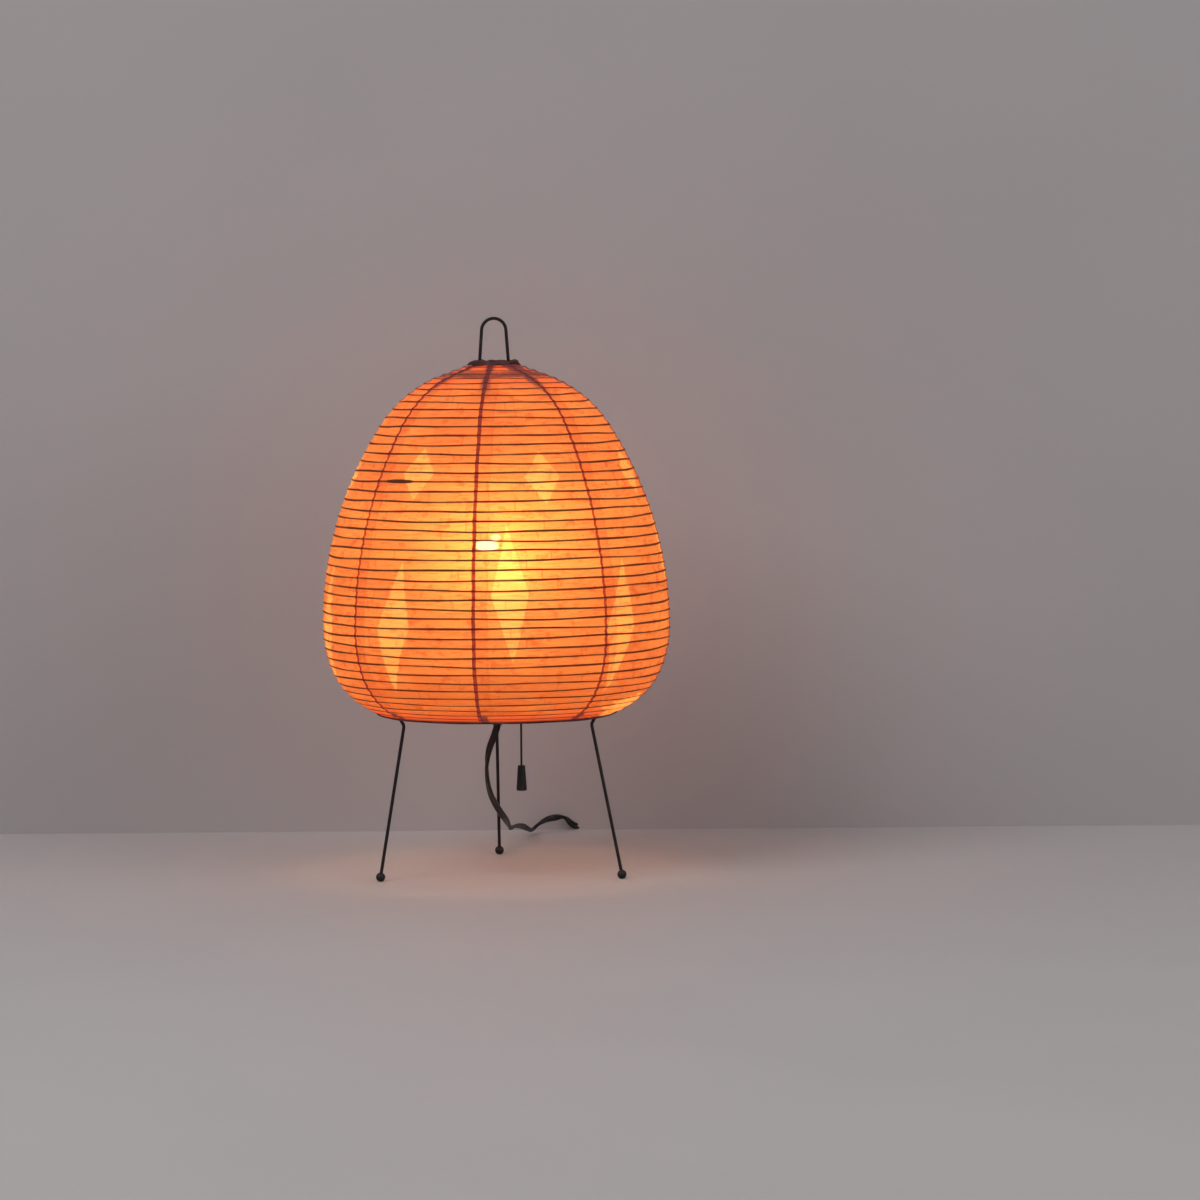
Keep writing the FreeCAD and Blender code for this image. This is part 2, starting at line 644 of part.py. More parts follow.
# Cord grip: a tapered sleeve under the nipple
turned("cord_grip", [
    ("0", f"{Z_NIPPLE} - dims.grip_length"),
    ("dims.cord_width / 2 + dims.grip_lip", f"{Z_NIPPLE} - dims.grip_length"),
    ("dims.grip_top_diameter / 2", f"{Z_NIPPLE} - dims.grip_band"), ("dims.grip_top_diameter / 2", Z_NIPPLE),
    ("dims.nipple_bore / 2 - dims.weld_gap", Z_NIPPLE),
    ("dims.nipple_bore / 2 - dims.weld_gap", f"{Z_NIPPLE} + dims.grip_plug_length"),
    ("0", f"{Z_NIPPLE} + dims.grip_plug_length")])

# Bulb: contact, insulator, screw cap, frosted glass, stem and filament
Z_BULB = f"({Z_CONTACT} + dims.part_gap)"
Z_THREAD = f"({Z_BULB} + dims.bulb_foot_height)"
Z_RIM = f"({Z_THREAD} + dims.screw_cap_length)"
Z_FOOT = f"({Z_BULB} + dims.bulb_contact_height)"
R_BULB_CONTACT = "dims.bulb_contact_diameter / 2"
R_FOOT = "(dims.bulb_contact_diameter / 2 + dims.glass_thickness)"
turned("bulb_contact", [("0", Z_BULB), (R_BULB_CONTACT, Z_BULB), (R_FOOT, Z_FOOT), ("0", Z_FOOT)])
turned("bulb_insulator", [
    ("0", Z_FOOT), (R_FOOT, Z_FOOT), ("dims.bulb_foot_diameter / 2", Z_THREAD), ("0", Z_THREAD)])
R_CAP_INSIDE = "(dims.screw_cap_radius - dims.screw_cap_wall)"
Z_TAPER = f"({Z_THREAD} + dims.screw_cap_taper)"
Z_STEM = f"({Z_TAPER} + dims.screw_cap_wall)"
turned("bulb_screw_cap", [
    ("0", Z_THREAD), ("dims.bulb_foot_diameter / 2", Z_THREAD), ("dims.screw_cap_radius", Z_TAPER),
    ("dims.screw_cap_radius", Z_RIM), (R_CAP_INSIDE, Z_RIM), (R_CAP_INSIDE, Z_STEM), ("0", Z_STEM)])

BULB = size("dims.bulb_radius")
GLASS = size("dims.glass_thickness")
bulb_top = size(f"{Z_BULB} + dims.bulb_length")
globe_centre = V(0, 0, bulb_top - BULB)
neck = size("dims.bulb_neck_radius")
neck_start = V(neck, 0, size(f"{Z_RIM} - dims.glass_seat"))
# The hollow of the shoulder touches the neck's line and the globe
shoulder_radius = size("dims.glass_shoulder_radius")
shoulder_drop = math.sqrt((BULB + shoulder_radius) ** 2 - (neck + shoulder_radius) ** 2)
shoulder_centre = V(neck + shoulder_radius, 0, globe_centre.z - shoulder_drop)


def glass_side(depth):
    """Neck, shoulder and globe of the glass, depth inside its outer face."""
    low = V(neck - depth, 0, neck_start.z)
    waist = V(neck - depth, 0, shoulder_centre.z)
    meet = globe_centre + (shoulder_centre - globe_centre).normalize() * (BULB - depth)
    hollow = shoulder_radius + depth
    half_way = ((waist - shoulder_centre).normalize() + (meet - shoulder_centre).normalize()).normalize()
    crown = globe_centre + UP * (BULB - depth)
    side_way = ((meet - globe_centre).normalize() + UP).normalize()
    return [low, crown], [
        Part.LineSegment(low, waist).toShape(),
        Part.Arc(waist, shoulder_centre + half_way * hollow, meet).toShape(),
        Part.Arc(meet, globe_centre + side_way * (BULB - depth), crown).toShape()]


(outer_low, outer_crown), outer_side = glass_side(0)
(inner_low, inner_crown), inner_side = glass_side(GLASS)
glass_caps = [
    Part.LineSegment(outer_low, inner_low).toShape(),
    Part.LineSegment(outer_crown, inner_crown).toShape()]
glass_face = Part.Face(Part.Wire(Part.__sortEdges__(outer_side + inner_side + glass_caps)))
named(revolved("bulb_glass", glass_face), "bulb_glass")

stem_top = globe_centre.z - BULB * 0.55
turned("bulb_stem", [
    ("0", Z_STEM), ("dims.bulb_neck_radius - 2 * dims.glass_thickness", Z_STEM),
    ("dims.stem_diameter / 2", f"{Z_STEM} + dims.stem_flare"),
    ("dims.stem_top_diameter / 2", f"{stem_top:.3f}"), ("0", f"{stem_top:.3f}")])
lead_low = stem_top + GLASS / 2
lead_half = size("dims.stem_top_diameter") / 3
span_half = size("dims.filament_span") / 2
filament_points = [
    V(-lead_half, 0, lead_low), V(-span_half, 0, globe_centre.z),
    V(0, 0, globe_centre.z + size("dims.filament_rise")),
    V(span_half, 0, globe_centre.z), V(lead_half, 0, lead_low)]
named(swept("bulb_filament", bent_path(filament_points, [2, 8, 2]), "dims.glass_thickness"), "bulb_filament")

# Pull switch: a guide on the holder's side, and the rod, cord and knob that travel in it
pull_angle = size("dims.pull_azimuth")
pull_axis = around(V(size("dims.pull_radius"), 0, 0), pull_angle)
guide_top = size(f"{Z_CAP_TOP} - dims.pull_guide_drop")
guide_bottom = guide_top - size("dims.pull_guide_length")
guide_tube = bind(doc.addObject("Part::Cylinder", "guide_tube"), Radius="dims.pull_guide_diameter / 2",
                  Height="dims.pull_guide_length")
guide_tube.Placement.Base = pull_axis + UP * guide_bottom
guide_arm = bind(doc.addObject("Part::Box", "guide_arm"), Length="dims.pull_radius",
                 Width="dims.pull_guide_diameter * 0.7", Height="dims.pull_guide_length / 3")
arm_corner = around(V(0, -size("dims.pull_guide_diameter * 0.35"), 0), pull_angle)
guide_arm.Placement = FreeCAD.Placement(
    arm_corner + UP * (guide_top - size("dims.pull_guide_length / 3")), FreeCAD.Rotation(UP, pull_angle))
guide_blank = doc.addObject("Part::Fuse", "guide_blank")
guide_blank.Base, guide_blank.Tool = guide_tube, guide_arm
cap_room = bind(doc.addObject("Part::Cylinder", "cap_room"), Radius="dims.holder_radius + dims.weld_gap",
                Height="dims.shade_top_height")
guide_seated = doc.addObject("Part::Cut", "guide_seated")
guide_seated.Base, guide_seated.Tool = guide_blank, cap_room
guide_bore = bind(doc.addObject("Part::Cylinder", "guide_bore"),
                  Height="dims.pull_guide_length - dims.pull_rod_out",
                  Radius="dims.pull_rod_diameter / 2 + dims.part_gap")
guide_bore.Placement.Base = pull_axis + UP * guide_bottom
guide = doc.addObject("Part::Cut", "pull_guide")
guide.Base, guide.Tool = guide_seated, guide_bore
named(guide, "pull_guide")

rod_bottom = guide_bottom - size("dims.pull_rod_out")
knob_top = size("dims.knob_top_height")
rod = bind(doc.addObject("Part::Cylinder", "pull_rod"), Radius="dims.pull_rod_diameter / 2",
           Height="dims.pull_guide_length - dims.pull_rod_out")
rod.Placement.Base = pull_axis + UP * rod_bottom
named(rod, "pull_rod")
pull_cord = bind(doc.addObject("Part::Cylinder", "pull_cord"), Radius="dims.pull_cord_diameter / 2")
pull_cord.Height = rod_bottom - knob_top
pull_cord.Placement.Base = pull_axis + UP * knob_top
named(pull_cord, "pull_cord")
Z_KNOB = "(dims.knob_top_height - dims.knob_length)"
R_KNOB = "dims.knob_bottom_diameter / 2"
R_KNOB_TOP = "dims.knob_top_diameter / 2"
knob = turned("pull_knob", [
    ("0", Z_KNOB), (f"{R_KNOB} - dims.knob_edge", Z_KNOB), (R_KNOB, f"{Z_KNOB} + dims.knob_edge"),
    (R_KNOB, f"{Z_KNOB} + dims.knob_rim"), (R_KNOB_TOP, "dims.knob_top_height - dims.knob_edge"),
    (f"{R_KNOB_TOP} - dims.knob_edge", "dims.knob_top_height"), ("0", "dims.knob_top_height")])
knob.Placement.Base = pull_axis

# Mains cord: its free run to the coil, the coil, and the tail to the plug
CORD = size("dims.cord_width")
coil_centre = V(size("dims.coil_centre_across"), size("dims.coil_centre_back"), 0)
turn_radius = size("dims.coil_turn_radius + dims.cord_width")
lie = size("dims.coil_lift") + CORD / 2
stub = size("dims.coil_stub")
entry_angle, exit_angle = -56.5, 90.0


def coil_end(angle, height, sign):
    """Where the cord meets the coil, and the way that it runs there."""
    way = around(V(0, 1, 0), angle)
    return coil_centre + around(V(turn_radius, 0, height), angle) + way * sign * stub, way


entry, entry_way = coil_end(entry_angle, lie, -1)
leave, leave_way = coil_end(exit_angle, size("dims.coil_lift + dims.coil_section") - CORD / 2, 1)
grip_end = size(f"{Z_NIPPLE} - dims.grip_length")
CORD_POINTS = [
    V(0, 0, grip_end), V(0, 0, grip_end - size("dims.cord_drop")), V(-6.5, 7, 92), V(-9, 20, 76),
    V(-8, 42, 56.5), V(-2, 70, 40), V(4.6, 98, 27.5), V(8.8, 132, 17.6), V(14.5, 165, 16.8),
    V(20, 200, 11.5), V(24, 222, 5.8), V(27, 238.5, 3.2), V(34.5, 247, 11), V(43, 253, 14.8),
    V(51.5, 258, 15.2), V(57.5, 262, 11.2), V(62, 265, 5.6), V(67.5, 268.5, 3.2), V(75.5, 272.5, 3.8),
    entry - entry_way * stub / 2, entry]
tail_start = leave + leave_way * size("dims.weld_gap")
tail_steps = [(0, 0, 0), (12, 0, 0), (25, -0.3, -4), (38, -0.8, -8.2), (48, -0.8, -8.2)]
TAIL_POINTS = [tail_start + leave_way * run + V(0, side, rise) for run, side, rise in tail_steps]


def cord_path(points):
    """Each bend as large as its two runs allow."""
    radii = []
    for a, b, c in zip(points, points[1:], points[2:]):
        half_turn = (b - a).getAngle(c - b) / 2
        radii.append(0.45 * min((b - a).Length, (c - b).Length) / math.tan(half_turn))
    print("cord radii", [round(r, 1) for r in radii])
    return bent_path(points, radii)


for label, points in (("mains_cord", CORD_POINTS), ("cord_tail", TAIL_POINTS)):
    path = cord_path(points)
    tube = named(swept(label, path, "dims.cord_width"), label)
    doc.recompute()
    expected = math.pi * CORD**2 / 4 * path.Length
    print(label, "length", round(path.Length, 1), "volume ratio", round(tube.Shape.Volume / expected, 4))

half_section = size("dims.coil_section") / 2
ring_radius = size("dims.coil_turn_radius")
ring_low = size("dims.coil_lift")
ring_face = Part.Face(Part.makePolygon([
    V(ring_radius + x, 0, ring_low + z) for x, z in (
        (-half_section, 0), (half_section, 0), (half_section, 2 * half_section),
        (-half_section, 2 * half_section), (-half_section, 0))]))
ring = ring_face.revolve(V(0, 0, 0), UP, 360)
ring = ring.makeFillet(CORD / 2, ring.Edges)
ring.translate(coil_centre)
ends = []
for (point, way), sign in (((entry, entry_way), 1), ((leave, leave_way), -1)):
    ends.append(Part.makeCylinder(CORD / 2, stub, point, way * sign))
named(shape_object(ring.multiFuse(ends).removeSplitter(), "mains_coil"), "mains_coil")

tie_room = half_section + size("dims.part_gap")
tie_outer = tie_room + size("dims.tie_thickness")
tie_middle = coil_centre + V(-ring_radius, -size("dims.tie_width") / 2, ring_low + half_section)
outer_box, inner_box = [
    Part.makeBox(2 * half, size("dims.tie_width"), 2 * half, tie_middle - V(half, 0, half))
    for half in (tie_outer, tie_room)]
named(shape_object(outer_box.cut(inner_box), "coil_tie"), "coil_tie")

# Plug: moulded body with a tapered neck, and two flat blades
tail_end = TAIL_POINTS[-1] - V(size("dims.weld_gap"), 0, 0)
plug_neck = size("dims.plug_neck_length")
plug_face = tail_end - V(plug_neck, 0, 0)
neck_cone = Part.makeCone(CORD / 2 + 0.8, size("dims.plug_height") * 0.4, plug_neck, tail_end, V(-1, 0, 0))
plug_block = Part.makeBox(size("dims.plug_length"), size("dims.plug_width"), size("dims.plug_height"), V(
    plug_face.x - size("dims.plug_length"), tail_end.y - size("dims.plug_width") / 2,
    tail_end.z - size("dims.plug_height") / 2))
plug_block = plug_block.makeFillet(size("dims.plug_rounding"), plug_block.Edges)
named(shape_object(plug_block.fuse(neck_cone).removeSplitter(), "plug_body"), "plug_body")
blades = []
for sign in (-1, 1):
    blade = bind(doc.addObject("Part::Box", "plug_blade"), Length="dims.blade_length",
                 Width="dims.blade_thickness", Height="dims.blade_width")
    blade.Placement.Base = V(
        plug_face.x - size("dims.plug_length + dims.blade_length"),
        tail_end.y + sign * size("dims.blade_spacing") / 2 - size("dims.blade_thickness") / 2,
        tail_end.z - size("dims.blade_width") / 2)
    blades.append(blade)
pair = doc.addObject("Part::Compound", "plug_blades")
pair.Links = blades
named(pair, "plug_blades")

# Check every object, then write each sub-part
doc.recompute()
for item in doc.Objects:
    if {"Invalid", "Error"} & set(item.State):
        raise ValueError(f"{item.Label}: {item.State}")
os.makedirs("parts", exist_ok=True)
for piece in pieces:
    if piece.Shape.isNull() or not piece.Shape.isValid():
        raise ValueError(f"{piece.Label}: no valid shape")
for piece in pieces:
    piece.Shape.exportStep(f"parts/{piece.Label}.step")
print(len(pieces), "sub-parts")
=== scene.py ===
"""Rice paper table lamp, dressed for the studio: metres, +Z up, front towards -Y."""
import math

import bpy
from mathutils import Matrix, Vector


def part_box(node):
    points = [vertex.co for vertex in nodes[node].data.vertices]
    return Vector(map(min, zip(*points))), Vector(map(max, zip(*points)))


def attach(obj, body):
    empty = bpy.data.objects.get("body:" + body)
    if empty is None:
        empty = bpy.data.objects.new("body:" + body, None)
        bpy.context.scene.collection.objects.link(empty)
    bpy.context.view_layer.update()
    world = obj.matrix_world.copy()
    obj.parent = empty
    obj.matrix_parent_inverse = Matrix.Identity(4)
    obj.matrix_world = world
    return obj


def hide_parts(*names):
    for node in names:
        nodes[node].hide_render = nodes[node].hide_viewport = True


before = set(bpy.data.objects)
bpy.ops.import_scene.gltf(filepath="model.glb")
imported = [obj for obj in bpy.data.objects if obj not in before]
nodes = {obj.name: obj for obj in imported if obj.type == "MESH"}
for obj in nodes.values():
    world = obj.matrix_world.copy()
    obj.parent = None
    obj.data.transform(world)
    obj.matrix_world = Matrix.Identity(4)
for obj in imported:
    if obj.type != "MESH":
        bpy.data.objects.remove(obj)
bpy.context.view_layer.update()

# Studio: a pale floor and a pale wall a hand's length behind the shade, as in a small product photo set.
# The wall shows its front face only, so the lamp can be seen from behind as well.
MM = 0.001
floor_color = (0.52, 0.49, 0.48, 1)
wall_color = (0.40, 0.37, 0.37, 1)
wall_place = 0.2655
stage_reach = 6.0


class Socket:
    """A node socket that can be used in Python expressions; node() adds any other node."""

    def __init__(self, tree, socket=None):
        self.tree, self.socket = tree, socket

    def node(self, kind, settings=None, values=None, output=0):
        node = self.tree.nodes.new(kind)
        for name, value in (settings or {}).items():
            setattr(node, name, value)
        for name, value in (values or {}).items():
            if isinstance(value, Socket):
                self.tree.links.new(value.socket, node.inputs[name])
            else:
                node.inputs[name].default_value = value
        return Socket(self.tree, node.outputs[output]) if len(node.outputs) else None

    def math(self, operation, first, second=0.0):
        return self.node("ShaderNodeMath", {"operation": operation}, {0: first, 1: second})

    def __add__(self, other):
        return self.math("ADD", self, other)

    def __radd__(self, other):
        return self.math("ADD", other, self)

    def __sub__(self, other):
        return self.math("SUBTRACT", self, other)

    def __rsub__(self, other):
        return self.math("SUBTRACT", other, self)

    def __mul__(self, other):
        return self.math("MULTIPLY", self, other)

    def __rmul__(self, other):
        return self.math("MULTIPLY", other, self)

    def __truediv__(self, other):
        return self.math("DIVIDE", self, other)

    def __rtruediv__(self, other):
        return self.math("DIVIDE", other, self)

    def __abs__(self):
        return self.math("ABSOLUTE", self)

    def most(self, *others):
        """The largest of this value and others."""
        largest = self
        for other in others:
            largest = self.math("MAXIMUM", largest, other)
        return largest

    def ramp(self, low, high, start=0.0, end=1.0):
        """Runs smoothly from start to end while this value goes from low to high."""
        return self.node("ShaderNodeMapRange", {"interpolation_type": "SMOOTHSTEP"}, {
            "Value": self, "From Min": low, "From Max": high, "To Min": start, "To Max": end})

    def fade(self, low, high):
        """Falls smoothly from one to nothing while this value goes from low to high."""
        return self.ramp(low, high, 1.0, 0.0)

    def mix(self, first, second):
        """Colour between two others, by this value."""
        return self.node("ShaderNodeMix", {"data_type": "RGBA"}, {0: self, 6: first, 7: second}, output=2)

    def noise(self, place, scale, detail=2.0, roughness=0.5):
        return self.node("ShaderNodeTexNoise", {}, {
            "Vector": place, "Scale": scale, "Detail": detail, "Roughness": roughness})


def new_material(name):
    material = bpy.data.materials.new(name)
    material.use_nodes = True
    material.node_tree.nodes.clear()
    return material, Socket(material.node_tree)


def finish_material(graph, shader):
    graph.node("ShaderNodeOutputMaterial", {}, {"Surface": shader})


def principled(graph, values):
    return graph.node("ShaderNodeBsdfPrincipled", {}, values)


def object_place(graph):
    return graph.node("ShaderNodeTexCoord", output=3)


def dress(piece, material):
    piece.data.materials.clear()
    piece.data.materials.append(material)


def deselect():
    if bpy.context.object and bpy.context.object.mode != "OBJECT":
        bpy.ops.object.mode_set(mode="OBJECT")
    bpy.ops.object.select_all(action="DESELECT")


def stage_sheet(name, color, rotation, location):
    """A painted sheet with faint clouds in its colour, open to the eye from behind."""
    deselect()
    bpy.ops.mesh.primitive_plane_add(size=stage_reach, location=location, rotation=rotation)
    sheet = bpy.context.object
    sheet.name = name
    material, graph = new_material(name)
    tone = graph.noise(object_place(graph), 3.0).ramp(0.3, 0.7)
    shade = tone.mix(color, tuple(part * 0.97 for part in color[:3]) + (1,))
    surface = principled(graph, {"Base Color": shade, "Roughness": 0.65})
    behind = graph.node("ShaderNodeNewGeometry", output=6)
    finish_material(graph, graph.node("ShaderNodeMixShader", {}, {
        0: behind, 1: surface, 2: graph.node("ShaderNodeBsdfTransparent")}))
    dress(sheet, material)


stage_sheet("studio_floor", floor_color, (0, 0, 0), (0, 0, 0))
stage_sheet("studio_wall", wall_color, (math.radians(90), 0, 0), (0, wall_place, stage_reach / 2))

image_width = 1200
focal_pixels = 4100
camera_pitch = math.radians(3.56)
camera_roll = math.radians(-0.45)
camera_data = bpy.data.cameras.new("camera")
camera_data.angle = 2 * math.atan(image_width / 2 / focal_pixels)
camera = bpy.data.objects.new("camera", camera_data)
camera.location = (0.0792, -3.124, 0.402)
camera.rotation_euler = (Matrix.Rotation(math.pi / 2 - camera_pitch, 3, "X")
                         @ Matrix.Rotation(camera_roll, 3, "Z")).to_euler()
bpy.context.scene.collection.objects.link(camera)
bpy.context.scene.camera = camera
bpy.context.scene.view_settings.view_transform = "Standard"

world = bpy.data.worlds.new("studio_world")
world.use_nodes = True
background = world.node_tree.nodes["Background"]
background.inputs["Color"].default_value = (0.9, 0.93, 1.0, 1)
background.inputs["Strength"].default_value = 0.35
bpy.context.scene.world = world
light_aim = Vector((0, 0, 0.22))
studio_lights = (
    # name, place, width in metres, watts
    ("key_light", (-1.4, -1.6, 1.9), 1.4, 26),
    ("fill_light", (1.8, -1.4, 1.2), 1.6, 12),
    ("back_light", (0.3, 1.9, 1.6), 1.4, 14),
)
for name, place, width, watts in studio_lights:
    lamp = bpy.data.lights.new(name, "AREA")
    lamp.size, lamp.energy = width, watts
    light = bpy.data.objects.new(name, lamp)
    light.location = place
    light.rotation_euler = (light_aim - light.location).to_track_quat("-Z", "Y").to_euler()
    bpy.context.scene.collection.objects.link(light)


def raised(graph, strength, distance, height):
    """Small relief for a material's Normal."""
    return graph.node("ShaderNodeBump", {}, {"Strength": strength, "Distance": distance, "Height": height})


lacquer, graph = new_material("black_lacquer")
place = object_place(graph)
worn = graph.noise(place, 45.0, 5.0, 0.6).ramp(0.52, 0.72)
finish_material(graph, principled(graph, {
    "Base Color": worn.mix((0.007, 0.004, 0.004, 1), (0.032, 0.016, 0.011, 1)),
    "Roughness": worn * 0.2 + 0.36, "Specular IOR Level": 0.28,
    "Normal": raised(graph, 0.15, 0.0002, graph.noise(place, 900.0))}))
for name in ("leg_left", "leg_right", "leg_back", "hub_plate", "stretcher_handle", "stretcher_sleeves"):
    dress(nodes[name], lacquer)

# Ball feet, pull knob and lamp holder: pressed black phenolic with a fine grain.
# Dust has settled on it in patches, and it shines a little less there.
phenolic, graph = new_material("black_phenolic")
place = object_place(graph)
dust = graph.noise(place, 160.0, 4.0).ramp(0.45, 0.75)
finish_material(graph, principled(graph, {
    "Base Color": dust.mix((0.008, 0.006, 0.006, 1), (0.0216, 0.0172, 0.0172, 1)),
    "Roughness": dust * 0.2 + 0.36, "Specular IOR Level": 0.3,
    "Normal": raised(graph, 0.12, 0.0001, graph.noise(place, 2600.0))}))
for name in ("foot_left", "foot_right", "foot_back", "holder_cap", "holder_shell", "pull_guide", "pull_knob",
             "cord_grip"):
    dress(nodes[name], phenolic)

# Fittings inside the holder: zinc-plated nipple, nut and washer, a glazed porcelain block, and the brass
# screw shell and centre contact that feed the bulb.


def plated(name, tone, roughness):
    """Bright metal with stains that are darker and duller."""
    material, graph = new_material(name)
    stain = graph.noise(object_place(graph), 120.0, 5.0, 0.65)
    color = stain.ramp(0.35, 0.7).mix(tone, tuple(part * 0.62 for part in tone[:3]) + (1,))
    finish_material(graph, principled(graph, {
        "Base Color": color, "Metallic": 1.0, "Roughness": stain.ramp(0.3, 0.7, roughness, roughness + 0.18)}))
    return material


zinc = plated("zinc_plate", (0.62, 0.63, 0.62, 1), 0.28)
brass = plated("bright_brass", (0.80, 0.56, 0.24, 1), 0.22)
for name in ("holder_nipple", "holder_washer", "holder_nut", "terminal_screws", "pull_rod"):
    dress(nodes[name], zinc)
for name in ("screw_shell", "centre_contact", "plug_blades"):
    dress(nodes[name], brass)
porcelain, graph = new_material("glazed_porcelain")
mottle = graph.noise(object_place(graph), 220.0, 4.0).ramp(0.35, 0.7)
finish_material(graph, principled(graph, {
    "Base Color": mottle.mix((0.80, 0.77, 0.70, 1), (0.70, 0.66, 0.58, 1)), "Roughness": mottle * 0.15 + 0.14}))
dress(nodes["holder_insulator"], porcelain)

# Bulb: frosted pear-shaped glass on a rolled aluminium screw cap, lit. The inside frosting spreads the
# filament's light over the whole globe, brightest round its middle.
bulb_middle = 0.2530
bulb_glow = 15.5
aluminium = plated("rolled_aluminium", (0.74, 0.74, 0.75, 1), 0.30)
dress(nodes["bulb_screw_cap"], aluminium)
dress(nodes["bulb_contact"], zinc)
black_glass, graph = new_material("black_glass")
swirl = graph.noise(object_place(graph), 300.0, 3.0).ramp(0.3, 0.7)
finish_material(graph, principled(graph, {
    "Base Color": swirl.mix((0.012, 0.012, 0.014, 1), (0.03, 0.028, 0.03, 1)), "Roughness": 0.2}))
dress(nodes["bulb_insulator"], black_glass)
frosted, graph = new_material("frosted_glass")
height = graph.node("ShaderNodeSeparateXYZ", {}, {0: object_place(graph)}, output=2)
away = abs(height - bulb_middle).ramp(0.008, 0.045)
finish_material(graph, principled(graph, {
    "Base Color": (0.85, 0.82, 0.76, 1), "Roughness": 0.35, "Emission Strength": bulb_glow,
    "Emission Color": away.mix((1.0, 0.70, 0.34, 1), (0.42, 0.22, 0.08, 1))}))
dress(nodes["bulb_glass"], frosted)
clear, graph = new_material("clear_stem_glass")
wisp = graph.noise(object_place(graph), 80.0).ramp(0.3, 0.7)
finish_material(graph, principled(graph, {
    "Base Color": wisp.mix((0.9, 0.95, 0.93, 1), (0.8, 0.9, 0.88, 1)),
    "Roughness": 0.05, "Transmission Weight": 0.9}))
dress(nodes["bulb_stem"], clear)
hot, graph = new_material("hot_filament")
heat = graph.noise(object_place(graph), 500.0).ramp(0.3, 0.7)
finish_material(graph, principled(graph, {
    "Base Color": (0.3, 0.2, 0.1, 1), "Emission Strength": 4.0,
    "Emission Color": heat.mix((1.0, 0.6, 0.2, 1), (1.0, 0.8, 0.4, 1))}))
dress(nodes["bulb_filament"], hot)

# Pull switch: a braided black cord on the switch's steel rod, with the phenolic knob at its end.
# It hangs straight, a finger's width to the right of the axis and behind it.
cord_low, cord_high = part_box("pull_cord")
pull_across = (cord_low[0] + cord_high[0]) / 2
pull_back = (cord_low[1] + cord_high[1]) / 2
pull_length = cord_high[2] - cord_low[2]
pull_diameter = 1.6 * MM
pull_steps = 6
braid_strands, braid_pitch = 3, 4200


def route_curve(name, points, bevel=0.0):
    """A smooth cord along its route's points."""
    curve = bpy.data.curves.new(name, "CURVE")
    curve.dimensions = "3D"
    curve.bevel_depth = bevel
    curve.bevel_resolution = 4
    curve.use_fill_caps = bevel > 0
    spline = curve.splines.new("NURBS")
    spline.points.add(len(points) - 1)
    for point, place in zip(spline.points, points):
        point.co = (*place, 1)
    spline.order_u = 3
    spline.use_endpoint_u = True
    spline.resolution_u = 12
    route = bpy.data.objects.new(name, curve)
    bpy.context.scene.collection.objects.link(route)
    return route


pull_points = [(pull_across, pull_back, cord_high[2] - pull_length * step / pull_steps)
               for step in range(pull_steps + 1)]
pull_string = route_curve("pull_string", pull_points, pull_diameter / 2)
braid, graph = new_material("black_braid")
place = object_place(graph)
across, back, height = (graph.node("ShaderNodeSeparateXYZ", {}, {0: place}, output=i) for i in range(3))
turn = graph.math("ARCTAN2", back - pull_back, across - pull_across)
twill = (graph.math("SINE", turn * braid_strands + height * braid_pitch)
         * graph.math("SINE", turn * braid_strands - height * braid_pitch))
# The strands' crowns are painted a little lighter and the grooves between them darker: painted shade of the weave
finish_material(graph, principled(graph, {
    "Base Color": twill.ramp(-0.6, 0.6).mix((0.004, 0.004, 0.004, 1), (0.018, 0.013, 0.011, 1)),
    "Roughness": 0.75, "Normal": raised(graph, 0.5, 0.0002, twill)}))
pull_string.data.materials.append(braid)
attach(pull_string, "pull")
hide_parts("pull_cord")

# Shade: eight gores of orange-dyed rice paper pasted edge to edge over split bamboo hoops.
# The paper has shrunk on the hoops, so it dips a little between them, and no hoop lies quite level.
# Its outline is four arcs and a cone; sizes are in millimetres, and distances run along it from the foot.
outline_arcs = (
    # centre from the axis, centre height, radius, first angle, last angle
    (69.6551, 180.2064, 61.3070, -72.0, -18.989),
    (41.1946, 190.0, 91.4054, -18.989, 0.0),
    (-146.2776, 190.0, 278.8776, 0.0, 33.0968),
    (7.3304, 290.1237, 95.5196, 33.0968, 70.0),
)
cone_length = 26.0724
arcs_length = sum(radius * math.radians(last - first) for _, _, radius, first, last in outline_arcs)
outline_length = arcs_length + cone_length
rib_count = 44
rib_first, rib_last, rib_spread = 8.8, 8.1, 0.094
rib_span = outline_length - rib_first - rib_last
rib_pitch = rib_span / (rib_count - 1)
paper_thickness = 0.3
paper_dip = 0.8
bay_steps = 6
gore_count, gore_steps = 8, 14
gore_angle = 2 * math.pi / gore_count
first_seam = math.radians(-95.9)


def outline_place(distance):
    """Radius, height and outward direction of the paper's outer face."""
    left = distance
    for across, height, radius, first, last in outline_arcs:
        length = radius * math.radians(last - first)
        if left <= length:
            angle = math.radians(first) + left / radius
            return across + radius * math.cos(angle), height + radius * math.sin(angle), angle
        left -= length
    angle = math.radians(last)
    return (across + radius * math.cos(angle) - left * math.sin(angle),
            height + radius * math.sin(angle) + left * math.cos(angle), angle)


def rib_distance(number):
    """Where a rib lies along the outline: the ribs stand a little wider towards the top."""
    part = number / (rib_count - 1)
    if part < 0:
        return rib_first + rib_span * part * (1 - rib_spread)
    if part > 1:
        return rib_first + rib_span * (1 + (part - 1) * (1 + rib_spread))
    return rib_first + rib_span * (part + rib_spread * part * (part - 1))


